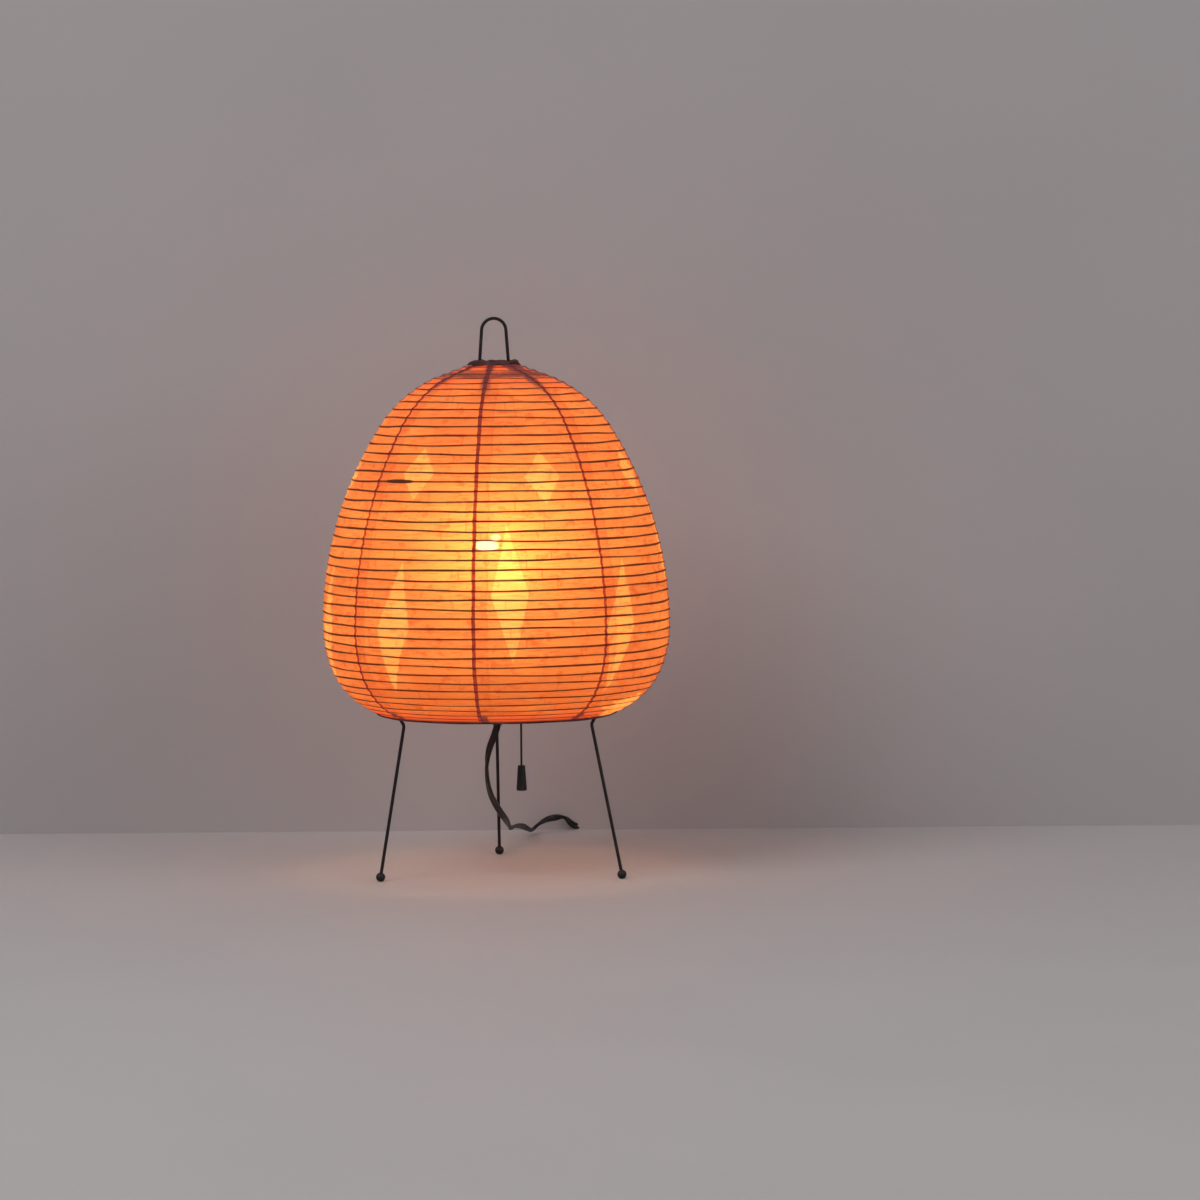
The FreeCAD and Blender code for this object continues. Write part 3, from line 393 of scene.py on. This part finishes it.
def rib_number(distance):
    """The rib at a distance along the outline, with a fraction between two ribs."""
    level = (distance - rib_first) / rib_span
    narrow = 1 - rib_spread
    if level < 0:
        part = level / narrow
    elif level > 1:
        part = 1 + (level - 1) / (1 + rib_spread)
    else:
        part = (math.sqrt(narrow * narrow + 4 * rib_spread * level) - narrow) / (2 * rib_spread)
    return part * (rib_count - 1)


def dip(number):
    """How far the paper falls in between two ribs."""
    if number < -1 or number > rib_count:
        return 0.0
    return paper_dip * (1 - math.cos(2 * math.pi * number)) / 2


def ripple(turn, *waves):
    """Sum of waves round the lamp, each given by its size, its count and its start."""
    return sum(size * math.sin(count * turn + start) for size, count, start in waves)


def sway(turn, number):
    """How far a rib strays from its level at some angle; the ribs at both ends stray less."""
    ends = min(1.0, max(0.0, (number + 1) / 3), max(0.0, (rib_count - number) / 3))
    return ends * ripple(turn, (0.42, 2, 0.9 * number), (0.33, 5, 2.3 * number), (0.22, 9, -3.1 * number))


def profile_line(name, places):
    """An edge chain through places, extruded point by point."""
    deselect()
    bpy.ops.mesh.primitive_plane_add(size=MM, location=places[0])
    line = bpy.context.object
    line.name = name
    bpy.ops.object.mode_set(mode="EDIT")
    bpy.ops.mesh.merge(type="CENTER")
    for before, after in zip(places, places[1:]):
        bpy.ops.mesh.extrude_vertices_move(TRANSFORM_OT_translate={"value": Vector(after) - Vector(before)})
    bpy.ops.object.mode_set(mode="OBJECT")
    bpy.ops.object.transform_apply(location=True, rotation=True, scale=True)
    return line


def mark_points(line, mark, values):
    """Write a value on each point of an edge chain; the skin that is made from it keeps them."""
    line.data.attributes.new(mark, "FLOAT", "POINT").data.foreach_set("value", values)


def spin_line(line, angle, steps):
    """Turn an edge chain about the lamp's axis into a skin."""
    bpy.ops.object.mode_set(mode="EDIT")
    bpy.ops.mesh.select_all(action="SELECT")
    bpy.ops.mesh.spin(steps=steps, angle=angle, center=(0, 0, 0), axis=(0, 0, 1))
    bpy.ops.mesh.select_all(action="SELECT")
    bpy.ops.mesh.remove_doubles(threshold=MM / 100)
    bpy.ops.object.mode_set(mode="OBJECT")


def stray(piece):
    """Move a skin's points along the outline, as the hoops under them stray."""
    for vertex, rib in zip(piece.data.vertices, piece.data.attributes["rib_place"].data):
        turn = math.atan2(vertex.co.y, vertex.co.x)
        _, _, slope = outline_place(rib_distance(rib.value))
        move = sway(turn, rib.value) * MM
        inward = -math.sin(slope) * move
        vertex.co += Vector((math.cos(turn) * inward, math.sin(turn) * inward, math.cos(slope) * move))


def face_outwards(piece):
    """Make a piece's faces look one way, and leave it selected and active."""
    deselect()
    piece.select_set(True)
    bpy.context.view_layer.objects.active = piece
    bpy.ops.object.mode_set(mode="EDIT")
    bpy.ops.mesh.select_all(action="SELECT")
    bpy.ops.mesh.normals_make_consistent(inside=False)
    bpy.ops.object.mode_set(mode="OBJECT")


def thicken(piece, side):
    """Give a skin the paper's thickness: inwards for side -1, outwards for side 1."""
    face_outwards(piece)
    middle = piece.data.polygons[len(piece.data.polygons) // 2]
    if middle.normal.dot(Vector((middle.center.x, middle.center.y, 0))) < 0:
        piece.data.flip_normals()
    wall = piece.modifiers.new("thickness", "SOLIDIFY")
    wall.thickness, wall.offset = paper_thickness * MM, side
    bpy.ops.object.modifier_apply(modifier=wall.name)
    bpy.ops.object.shade_smooth_by_angle(angle=math.radians(40))


def skin_places(start, end, lift):
    """Points along the outline, lift outside the paper, with their rib numbers."""
    low, high = rib_number(start), rib_number(end)
    steps = range(math.floor(low * bay_steps) + 1, math.ceil(high * bay_steps))
    numbers = [low] + [step / bay_steps for step in steps] + [high]
    places = []
    for number in numbers:
        radius, height, angle = outline_place(rib_distance(number))
        out = lift - dip(number)
        places.append(((radius + out * math.cos(angle)) * MM, 0, (height + out * math.sin(angle)) * MM))
    return places, numbers


# Places of the paper's marks: turns are parts of a circle from the front to the right, heights are in metres
rib_heights = [outline_place(rib_distance(number))[1] * MM for number in range(rib_count)]
seam_turn = first_seam / (2 * math.pi) + 0.25
glow_height, glow_reach = 0.250, 0.15
streak_turn, streak_height = -39.4 / 360, 0.302
streak_rib = min(range(rib_count), key=lambda number: abs(rib_heights[number] - streak_height))
streak_long, streak_tall = 14.2, 1.35
patch_turn, patch_height = 67.5 / 360, 0.1305
patch_long, patch_tall = 27.0, 0.0100
hot_spot_turn, hot_spot_height = -1.7 / 360, 0.2565
hot_spot_rib = max(number for number in range(rib_count) if rib_heights[number] <= hot_spot_height)
hot_spot_long, hot_spot_upper_long, hot_spot_upper_turn = 8.8, 4.2, hot_spot_turn + 3.2 / 360
dark_band_height = 0.3802
blot_turn, blot_foot = 47.0 / 360, 0.3760
lap_width = 10.0
joint_cells = 26


def stretched_noise(graph, place, stretch, scale, detail=2.0, roughness=0.5):
    mapped = graph.node("ShaderNodeMapping", {}, {"Vector": place, "Scale": stretch})
    return graph.noise(mapped, scale, detail, roughness)


def cell_chance(graph, first, second):
    """A random value for each pair of whole numbers."""
    cell = graph.node("ShaderNodeCombineXYZ", {}, {0: first, 1: second})
    return graph.node("ShaderNodeTexWhiteNoise", {"noise_dimensions": "2D"}, {"Vector": cell})


def lozenge_row(graph, turn, height, drift, sizes):
    """Painted lozenges round the shade, one to a cell, each at its own height and with its own lean."""
    count, start, seed, low, spread, tall, wide, lean, soft = sizes
    cell = turn * count + start
    index = graph.math("FLOOR", cell)
    chance = graph.node("ShaderNodeTexWhiteNoise", {"noise_dimensions": "1D"}, {"W": index + seed})
    up = (height - (chance * spread + low)) / tall
    side = (cell - index - 0.5 + up * (chance - 0.5) * lean) / wide
    return (1 - (abs(up) + abs(side)) + drift * 0.2).ramp(0.0, soft)


def bay_joints(graph, turn, girth, bay, fibre):
    """Short joints across some bays, where a sheet of paper ends."""
    cell = turn * joint_cells + bay * 0.37
    index = graph.math("FLOOR", cell)
    away = abs(cell - index - 0.5 + (fibre - 0.5) * 0.03) * girth / joint_cells
    return away.fade(0.2, 0.7) * cell_chance(graph, bay, index).ramp(0.80, 0.86)


def dark_marks(turn, girth, height, beside, drift, blot):
    """Dark marks: a band under the collar, smudges along the seams' upper ends, drops at their feet and one blot.
    """
    band = abs(height - dark_band_height + drift * 0.002).fade(0.0013, 0.0030) * blot.ramp(0.3, 0.6, 0.5, 0.85)
    smudge = (abs(beside) + drift * 9).fade(1.5, 6.0) * height.ramp(0.360, 0.380) * 0.9
    drop = (abs(beside - 2.8) + drift * 6).fade(2.0, 4.0) * height.ramp(0.1300, 0.1268) * 0.85
    dark_blot = (abs(turn - blot_turn) * girth + drift * 12).fade(7.0, 11.0)
    dark_blot = dark_blot * (height + drift * 0.006).ramp(blot_foot, blot_foot + 0.004) * 0.88
    return band.most(smudge, drop, dark_blot)


def painted_hot_spot(turn, girth, rib, drift):
    """Painted highlight of the bulb seen through the paper, on two bays by the front seam."""
    along = abs(turn - hot_spot_turn) * girth / hot_spot_long + drift * 0.6
    tall = abs(rib - (hot_spot_rib + 0.5)) * 2.1
    lower = (along * along * along + tall * tall * tall).fade(0.35, 1.2)
    along = abs(turn - hot_spot_upper_turn) * girth / hot_spot_upper_long + drift * 0.6
    tall = abs(rib - (hot_spot_rib + 1.4)) * 2.1
    upper = (along * along + tall * tall).fade(0.2, 1.1)
    return lower.most(upper * 0.6)


def dyed_paper(name, deep, warm, pale, bare, layered):
    """Paper with the bulb behind it: lit is the bulb's light painted into the paper as glow, unlit the colour that
    it lends to passing light.

    A layered strip has no lozenges, laps or painted hot spot.
    """
    material, graph = new_material(name)
    place = object_place(graph)
    across, back, height = (graph.node("ShaderNodeSeparateXYZ", {}, {0: place}, output=i) for i in range(3))
    turn = graph.math("ARCTAN2", across, 0 - back) / (2 * math.pi)
    girth = graph.math("SQRT", across * across + back * back) * (2 * math.pi / MM)
    rib = graph.node("ShaderNodeAttribute", {"attribute_name": "rib_place"}, output=2)
    bay = graph.math("FLOOR", rib)
    gores = (turn - seam_turn) * gore_count
    seam = graph.math("ROUND", gores)
    # Millimetres to the right of the nearest seam
    beside = (gores - seam) * girth / gore_count
    cloud = graph.noise(place, 28.0, 5.0, 0.6)
    drift = cloud - 0.5
    fibre = stretched_noise(graph, place, (1.0, 1.0, 3.5), 420.0, 4.0, 0.7)
    strand = stretched_noise(graph, place, (0.3, 0.3, 2.4), 330.0, 3.0, 0.6)
    grit = stretched_noise(graph, place, (1.0, 1.0, 0.35), 230.0)
    fleck = graph.noise(place, 900.0, 2.0, 0.6)
    blot = graph.noise(place, 110.0, 3.0, 0.6)

    # Clouds and fibres; no two bays are cut from the same sheet
    # Painted glow of the bulb: brightest at its height, dimmer above and below it
    lit = abs(height - glow_height).fade(0.0, glow_reach).mix(deep, warm)
    lit = (cloud.ramp(0.35, 0.75) * 0.26).mix(lit, pale)
    worn = (cell_chance(graph, bay, seam) * 0.34 + strand.ramp(0.53, 0.66) * 0.62
            + bay_joints(graph, turn, girth, bay, fibre) * 0.75 + blot.ramp(0.56, 0.66) * 0.62
            + fleck.ramp(0.58, 0.70) * 0.36)
    if not layered:
        # cells round the shade, start, seed, lowest middle, spread of middles, half height, half width, lean, edge
        large = lozenge_row(graph, turn, height, drift, (9, 0.35, 0, 0.185, 0.06, 0.052, 0.16, 0.22, 0.06))
        small = lozenge_row(graph, turn, height, drift, (7, 0.1, 40, 0.300, 0.035, 0.020, 0.15, 0.0, 0.08))
        painted = large.most(small) * 0.78
        lit = painted.mix(lit, pale)
        # Each gore laps its neighbour by a finger's width, and the lap's edge is torn
        torn = beside + (fibre - 0.5) * 5 + drift * 8
        lap = torn.fade(lap_width - 0.4, lap_width + 0.2) * beside.ramp(-0.2, 0.4)
        edge = abs(torn - lap_width).fade(0.2, 0.9) * fleck.ramp(0.40, 0.55)
        worn = worn + lap * 0.30 + edge * 0.7
    worn = graph.math("MINIMUM", worn, 1.0)
    lit = (fibre.ramp(0.50, 0.70) * 0.24).mix(lit, pale)
    # Painted shade: the glow is dimmer on the same marks, joints and laps
    lit = worn.mix(lit, deep)
    lit = (grit.ramp(0.69, 0.74) * 0.5).mix(lit, (0.20, 0.03, 0.008, 1))

    # Both ends of the shade glow redder and dimmer, painted shade away from the bulb, and their paper is darker
    ends = height.ramp(0.364, 0.384).most((height + drift * 0.006).ramp(0.133, 0.124))
    lit = (ends * 0.8).mix(lit, (0.40, 0.046, 0.014, 1))
    # A dark band under the collar, smudges by the seams and one blot darken the glow and the paper
    dark_marks_mask = dark_marks(turn, girth, height, beside, drift, blot)
    lit = dark_marks_mask.mix(lit, (0.075, 0.020, 0.028, 1))

    # The ribs' shadows are uneven lines with a soft edge
    near = abs(rib - bay - 0.5)
    uneven_place = graph.node("ShaderNodeCombineXYZ", {}, {0: turn * 9, 1: graph.math("ROUND", rib) * 3.7})
    uneven = graph.noise(uneven_place, 1.6, 3.0)
    ragged = (fibre - 0.5) * 0.03 + (uneven - 0.5) * 0.05
    line = (near + ragged).ramp(0.388, 0.430) * uneven.ramp(0.25, 0.6, 0.78, 1.0)
    lit = (near.ramp(0.22, 0.47) * 0.22).mix(lit, deep)
    lit = (line * 0.96).mix(lit, (0.060, 0.006, 0.0010, 1))

    # One rib has a dark streak, and a pale patch mends the foot
    along = (turn - streak_turn) * girth / streak_long
    tall = (rib - streak_rib) * rib_pitch / streak_tall
    streak = (along * along * along * along + tall * tall).fade(0.7, 1.0) * 0.94
    lit = streak.mix(lit, (0.030, 0.008, 0.004, 1))
    along = (turn - patch_turn) * girth / patch_long + (strand - 0.5) * 3
    tall = (height - patch_height) / patch_tall + drift * 2
    patch = (along * along + tall * tall).fade(0.7, 1.0) * (1 - line * 0.6) * 0.7
    lit = patch.mix(lit, (0.78, 0.33, 0.07, 1))

    aged = tuple(part * keep for part, keep in zip(bare, (0.70, 0.39, 0.38))) + (1,)
    unlit = (worn * 0.8).most(ends * 0.7).mix(bare + (1,), aged)
    if not layered:
        # Painted highlight where the bulb shows through the paper beside the front seam
        lit = painted_hot_spot(turn, girth, rib, drift).mix(lit, (1.0, 0.78, 0.46, 1))
        unlit = painted.mix(unlit, (0.80, 0.50, 0.19, 1))
    # Painted shadows of the ribs, the dark marks and the streak also darken the colour that the paper lends to
    # passing light
    shut = (line * 0.94).most(dark_marks_mask * 0.8, streak)
    unlit = shut.mix(unlit, (0.05, 0.012, 0.006, 1))
    finish_material(graph, principled(graph, {
        "Base Color": unlit, "Roughness": 0.86, "IOR": 1.42, "Transmission Weight": 0.72,
        "Specular IOR Level": 0.06, "Normal": raised(graph, 0.25, 0.0004, fibre * 0.6 + cloud * 0.4),
        "Emission Color": lit, "Emission Strength": 1.0}))
    return material


paper = dyed_paper("dyed_paper", (0.29, 0.052, 0.0088, 1), (0.27, 0.087, 0.0125, 1), (0.53, 0.255, 0.050, 1),
                   (0.78, 0.42, 0.14), False)
gore_places, gore_numbers = skin_places(0.0, outline_length, 0.0)
pattern_gore = profile_line("gore_pattern", gore_places)
mark_points(pattern_gore, "rib_place", gore_numbers)
spin_line(pattern_gore, gore_angle, gore_steps)
# The pattern may have been spun to either side of its first edge
spun = max(pattern_gore.data.vertices, key=lambda vertex: abs(vertex.co.y)).co.y
pattern_turn = 0 if spun > 0 else gore_angle
for number in range(gore_count):
    gore = pattern_gore.copy()
    gore.data = pattern_gore.data.copy()
    gore.name = f"paper_panel_{number + 1}"
    bpy.context.scene.collection.objects.link(gore)
    gore.data.transform(Matrix.Rotation(first_seam + gore_angle * number + pattern_turn, 4, "Z"))
    stray(gore)
    thicken(gore, -1)
    dress(gore, paper)
    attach(gore, "lamp")
    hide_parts(f"paper_gore_{number + 1}")
bpy.data.objects.remove(pattern_gore)

# Seam strips: a narrow strip of the same paper pasted over each joint, from hem to collar.
# Two layers pass less light, so the strips read as dark uneven lines, widest at both ends.
strip_start, strip_end = 3.6, outline_length - 3.0
strip_lift = 0.25
front_strip_half, strip_half = 1.35, 1.0
flare_foot, flare_top = 0.134, 0.366
flare_rate, flare_most = 30, 0.8
strip_ragged = 0.3
seam_paper = dyed_paper("seam_paper", (0.110, 0.012, 0.015, 1), (0.50, 0.048, 0.008, 1), (0.45, 0.07, 0.016, 1),
                        (0.14, 0.035, 0.025), True)
strip_places, strip_numbers = skin_places(strip_start, strip_end, strip_lift)
for number in range(gore_count):
    half = strip_half if number else front_strip_half
    strip = profile_line(f"seam_strip_{number + 1}", [(x, -half * MM, z) for x, _, z in strip_places])
    mark_points(strip, "rib_place", strip_numbers)
    bpy.ops.object.mode_set(mode="EDIT")
    bpy.ops.mesh.select_all(action="SELECT")
    bpy.ops.mesh.extrude_region_move(TRANSFORM_OT_translate={"value": (0, 2 * half * MM, 0)})
    bpy.ops.object.mode_set(mode="OBJECT")
    for vertex in strip.data.vertices:
        sign = 1 if vertex.co.y > 0 else -1
        height = vertex.co.z
        flare = (max(0.0, height - flare_top) + max(0.0, flare_foot - height)) * flare_rate
        ragged = ripple(height, (0.5, 170, number * 2.1 + sign), (0.4, 610, number + 2 * sign))
        vertex.co.y += sign * (ragged * strip_ragged + min(flare, flare_most)) * MM
    strip.data.transform(Matrix.Rotation(first_seam + gore_angle * number, 4, "Z"))
    stray(strip)
    thicken(strip, 1)
    dress(strip, seam_paper)
    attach(strip, "lamp")
    if number == 0:
        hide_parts("seam_strips")

# Ribs: hoops of split bamboo, a good millimetre wide, pasted inside the paper; they stray with it.
# Seen through the mouth of the shade they are pale brown, with a streaky grain.
rib_half, rib_top, rib_depth = 0.65, 0.5, 1.0
rib_steps = 80
rib_corners = ((rib_top, -rib_half), (rib_top, rib_half), (rib_top + rib_depth, rib_half),
               (rib_top + rib_depth, -rib_half), (rib_top, -rib_half))
hoops = []
for number in range(rib_count):
    radius, height, angle = outline_place(rib_distance(number))
    corners = [((radius - depth * math.cos(angle) - side * math.sin(angle)) * MM, 0,
                (height - depth * math.sin(angle) + side * math.cos(angle)) * MM) for depth, side in rib_corners]
    hoop = profile_line(f"rib_{number + 1}", corners)
    mark_points(hoop, "rib_place", [float(number)] * len(hoop.data.vertices))
    spin_line(hoop, 2 * math.pi, rib_steps)
    stray(hoop)
    hoops.append(hoop)
deselect()
for hoop in hoops:
    hoop.select_set(True)
bpy.context.view_layer.objects.active = hoops[0]
bpy.ops.object.join()
bamboo_hoops = bpy.context.object
bamboo_hoops.name = "bamboo_hoops"
face_outwards(bamboo_hoops)
bpy.ops.object.shade_smooth_by_angle(angle=math.radians(40))
bamboo, graph = new_material("split_bamboo")
grain = stretched_noise(graph, object_place(graph), (1, 1, 6), 180.0, 5.0, 0.7)
finish_material(graph, principled(graph, {
    "Base Color": grain.ramp(0.35, 0.7).mix((0.30, 0.15, 0.06, 1), (0.16, 0.07, 0.03, 1)),
    "Roughness": 0.6, "Normal": raised(graph, 0.3, 0.0002, grain)}))
dress(bamboo_hoops, bamboo)
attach(bamboo_hoops, "lamp")
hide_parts("bamboo_ribs")

# Edges: a wire hoop inside each end of the paper, and a band of dark paper folded over it and pasted down.
# The band at the top is crumpled and stands up a little round the handle; the hem at the foot is narrow.
for name in ("bottom_hoop", "top_hoop"):
    dress(nodes[name], lacquer)
band_steps = 96
crumple_out, crumple_up = 0.6, 0.7
edge_paper, graph = new_material("edge_paper")
place = object_place(graph)
cloud = graph.noise(place, 90.0, 5.0, 0.65).ramp(0.32, 0.7)
# The folded band glows faintly: painted light of the bulb coming through it
finish_material(graph, principled(graph, {
    "Base Color": cloud.mix((0.016, 0.010, 0.012, 1), (0.080, 0.034, 0.034, 1)), "Roughness": 0.75,
    "Normal": raised(graph, 0.6, 0.0006, graph.noise(place, 420.0, 3.0, 0.6)),
    "Specular IOR Level": 0.2, "Emission Strength": 1.0,
    "Emission Color": cloud.mix((0.002, 0.0005, 0.0005, 1), (0.050, 0.008, 0.008, 1))}))


def crumpled_band(name, places, lifts, crumple, tear_radius, tear_slope):
    """A turned band of paper; lifts say how far each of its rings may leave its place, in millimetres.

    Outside tear_radius its edge is torn: it draws back up the paper's slope, further at some angles.
    """
    band = profile_line(name, [(radius * MM, 0, height * MM) for radius, height in places])
    mark_points(band, "lift", lifts)
    spin_line(band, 2 * math.pi, band_steps)
    for vertex, lift in zip(band.data.vertices, band.data.attributes["lift"].data):
        turn = math.atan2(vertex.co.y, vertex.co.x)
        outward = Vector((math.cos(turn), math.sin(turn), 0))
        out = crumple_out * ripple(turn, (0.45, 4, 1.0), (0.4, 9, -crumple), (0.3, 17, 0))
        up = crumple_up * ripple(turn, (0.55, 3, 0.6), (0.5, 5, 2.0), (0.4, 11, crumple))
        vertex.co += (outward * out + Vector((0, 0, up))) * lift.value * MM
        wide = math.hypot(vertex.co.x, vertex.co.y) - tear_radius * MM
        if wide > 0:
            back = wide * (0.42 + ripple(turn, (0.30, 2, 2.6), (0.22, 7, 1.0)))
            vertex.co -= (outward - Vector((0, 0, math.tan(tear_slope)))) * back
    thicken(band, 1)
    dress(band, edge_paper)
    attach(band, "lamp")
    return band


collar_places = [(22.8, 386.7), (21.6, 387.3), (20.6, 388.0), (19.8, 388.8), (18.7, 389.6), (17.2, 390.2),
                 (15.4, 390.6), (14.4, 390.5), (14.0, 389.7), (13.9, 388.7)]
collar_lifts = [0.3, 0.5, 0.6, 0.8, 1.0, 1.1, 1.1, 0.9, 0.6, 0.4]
collar_band = crumpled_band("collar_band", collar_places, collar_lifts, 1.7, 18.0, math.radians(20))
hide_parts("top_collar")
hem_places = []
# Distances along the outline and from the paper; below nothing the hem goes on past the paper's foot
for distance, lift in ((3.6, 0.25), (2.6, 0.45), (1.2, 0.55), (0.0, 0.55), (-0.5, 0.1), (-0.55, -0.5)):
    radius, height, angle = outline_place(max(0.0, distance))
    beyond = min(0.0, distance)
    hem_places.append((radius + lift * math.cos(angle) - beyond * math.sin(angle),
                       height + lift * math.sin(angle) + beyond * math.cos(angle)))
hem_lifts = [0.15, 0.35, 0.45, 0.45, 0.4, 0.3]
hem_band = crumpled_band("hem_band", hem_places, hem_lifts, 0.4, 200.0, 0.0)
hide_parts("bottom_hem")

# Mains cord: flat twin flex, a little over five millimetres wide, that drops from the grip, twists on its
# way down and runs back over the table. What the lamp doesn't need lies behind it in a tied coil.
cord_width = 5.4 * MM
free_route = [
    (0, 0, 112.2), (-2.5, 1.5, 104.2), (-7.5, 8, 92), (-9.5, 20, 76), (-8, 42, 56.5), (-2, 70, 40), (4.2, 98, 27.5),
    (5.0, 132, 17.6), (8.5, 165, 15.5), (14.5, 200, 11.5), (18.5, 221, 6.0), (21.5, 236, 3.2), (27, 243.5, 7.5),
    (34.5, 249, 11.2), (43.5, 254.5, 12.0), (49, 258.8, 11.0), (53, 262.2, 6.2), (57, 265.4, 3.0), (66, 270, 3.0),
    (82, 275.2, 4.2), (95.53, 282.23, 4.4)]
coil_across, coil_back = 96.0, 325.0
coil_low, coil_layer = 4.4, 5.7
coil_first = math.radians(-56.5)
# Radius and layer of each turn, from the cord's way in at the bottom to its way out at the top
coil_turns = ((35.4, 0), (30.0, 0), (24.6, 0), (24.6, 1), (30.0, 1), (35.4, 1), (35.4, 2), (35.4, 2))
coil_end = 7 + 146.5 / 360
turn_points = 14
# Part of a turn after which the cord moves over to the next one
coil_stay = 0.62
coil_route = []
for step in range(int(coil_end * turn_points) + 1):
    done = step / turn_points
    here, following = coil_turns[int(done)], coil_turns[min(int(done) + 1, len(coil_turns) - 1)]
    shift = max(0.0, done % 1 - coil_stay) / (1 - coil_stay)
    radius = here[0] + (following[0] - here[0]) * shift
    layer = here[1] + (following[1] - here[1]) * shift
    angle = coil_first + done * 2 * math.pi
    coil_route.append((coil_across + radius * math.cos(angle), coil_back + radius * math.sin(angle),
                       coil_low + coil_layer * layer))
tail_route = [(96, 360.4, 15.8), (71.9, 360.4, 15.8), (59.9, 360.4, 15.8), (46.9, 360.1, 11.8), (33.9, 359.6, 7.6),
              (23.9, 359.6, 7.6)]
cord_route = [tuple(part * MM for part in place) for place in free_route + coil_route + tail_route]
cord_line = route_curve("cord_line", cord_route)
line_mesh = bpy.data.meshes.new_from_object(cord_line.evaluated_get(bpy.context.evaluated_depsgraph_get()))
cord_path = [vertex.co.copy() for vertex in line_mesh.vertices]
bpy.data.objects.remove(cord_line)
# Turn of the flat section by millimetres from the grip: at 0 and 180 degrees its broad face looks forward
cord_turn = ((0, 0), (14, 12), (38, 84), (66, 60), (106, 4), (140, 20), (172, 84), (204, 40), (246, 2), (288, 84),
             (303, 160), (312, 250), (324, 340), (345, 360))


def turn_at(distance):
    """The section's turn at a distance from the grip, or None where the cord lies as it falls."""
    for (low, first), (high, last) in zip(cord_turn, cord_turn[1:]):
        if distance <= high:
            return math.radians(first + (last - first) * (distance - low) / (high - low))
    return None


lobe = cord_width / 4
lobe_angles = [math.radians(degrees) for degrees in range(-140, 141, 35)]
section = [(lobe + lobe * math.cos(angle), lobe * math.sin(angle)) for angle in lobe_angles]
section += [(-across, -up) for across, up in section]
ring = len(section)
side = Vector((1, 0, 0))
tube_points, tube_faces, distance = [], [], 0.0
for index, place in enumerate(cord_path):
    ahead = cord_path[min(index + 1, len(cord_path) - 1)] - cord_path[max(index - 1, 0)]
    ahead.normalize()
    if index:
        distance += (place - cord_path[index - 1]).length
    angle = turn_at(distance / MM)
    if angle is not None:
        broad = Vector((0, 1, 0)).cross(ahead).normalized()
        side = broad * math.cos(angle) + ahead.cross(broad) * math.sin(angle)
    side = (side - ahead * side.dot(ahead)).normalized()
    thick = ahead.cross(side)
    tube_points += [place + side * across + thick * up for across, up in section]
for index in range(len(cord_path) - 1):
    for corner in range(ring):
        after = (corner + 1) % ring
        tube_faces.append((index * ring + corner, index * ring + after, (index + 1) * ring + after,
                           (index + 1) * ring + corner))
tube_faces.append(tuple(range(ring))[::-1])
tube_faces.append(tuple(range(len(tube_points) - ring, len(tube_points))))
flex_mesh = bpy.data.meshes.new("mains_flex")
flex_mesh.from_pydata(tube_points, [], tube_faces)
flex = bpy.data.objects.new("mains_flex", flex_mesh)
bpy.context.scene.collection.objects.link(flex)
face_outwards(flex)
bpy.ops.object.shade_smooth_by_angle(angle=math.radians(50))
jacket, graph = new_material("cord_jacket")
place = object_place(graph)
scuff = graph.noise(place, 70.0, 5.0, 0.65).ramp(0.4, 0.75)
finish_material(graph, principled(graph, {
    "Base Color": scuff.mix((0.006, 0.004, 0.004, 1), (0.030, 0.020, 0.018, 1)),
    "Roughness": scuff * 0.15 + 0.36, "Specular IOR Level": 0.3,
    "Normal": raised(graph, 0.1, 0.0001, graph.noise(place, 1800.0))}))
dress(flex, jacket)
for name in ("plug_body", "coil_tie"):
    dress(nodes[name], jacket)
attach(flex, "lamp")
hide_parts("mains_cord", "mains_coil", "cord_tail")
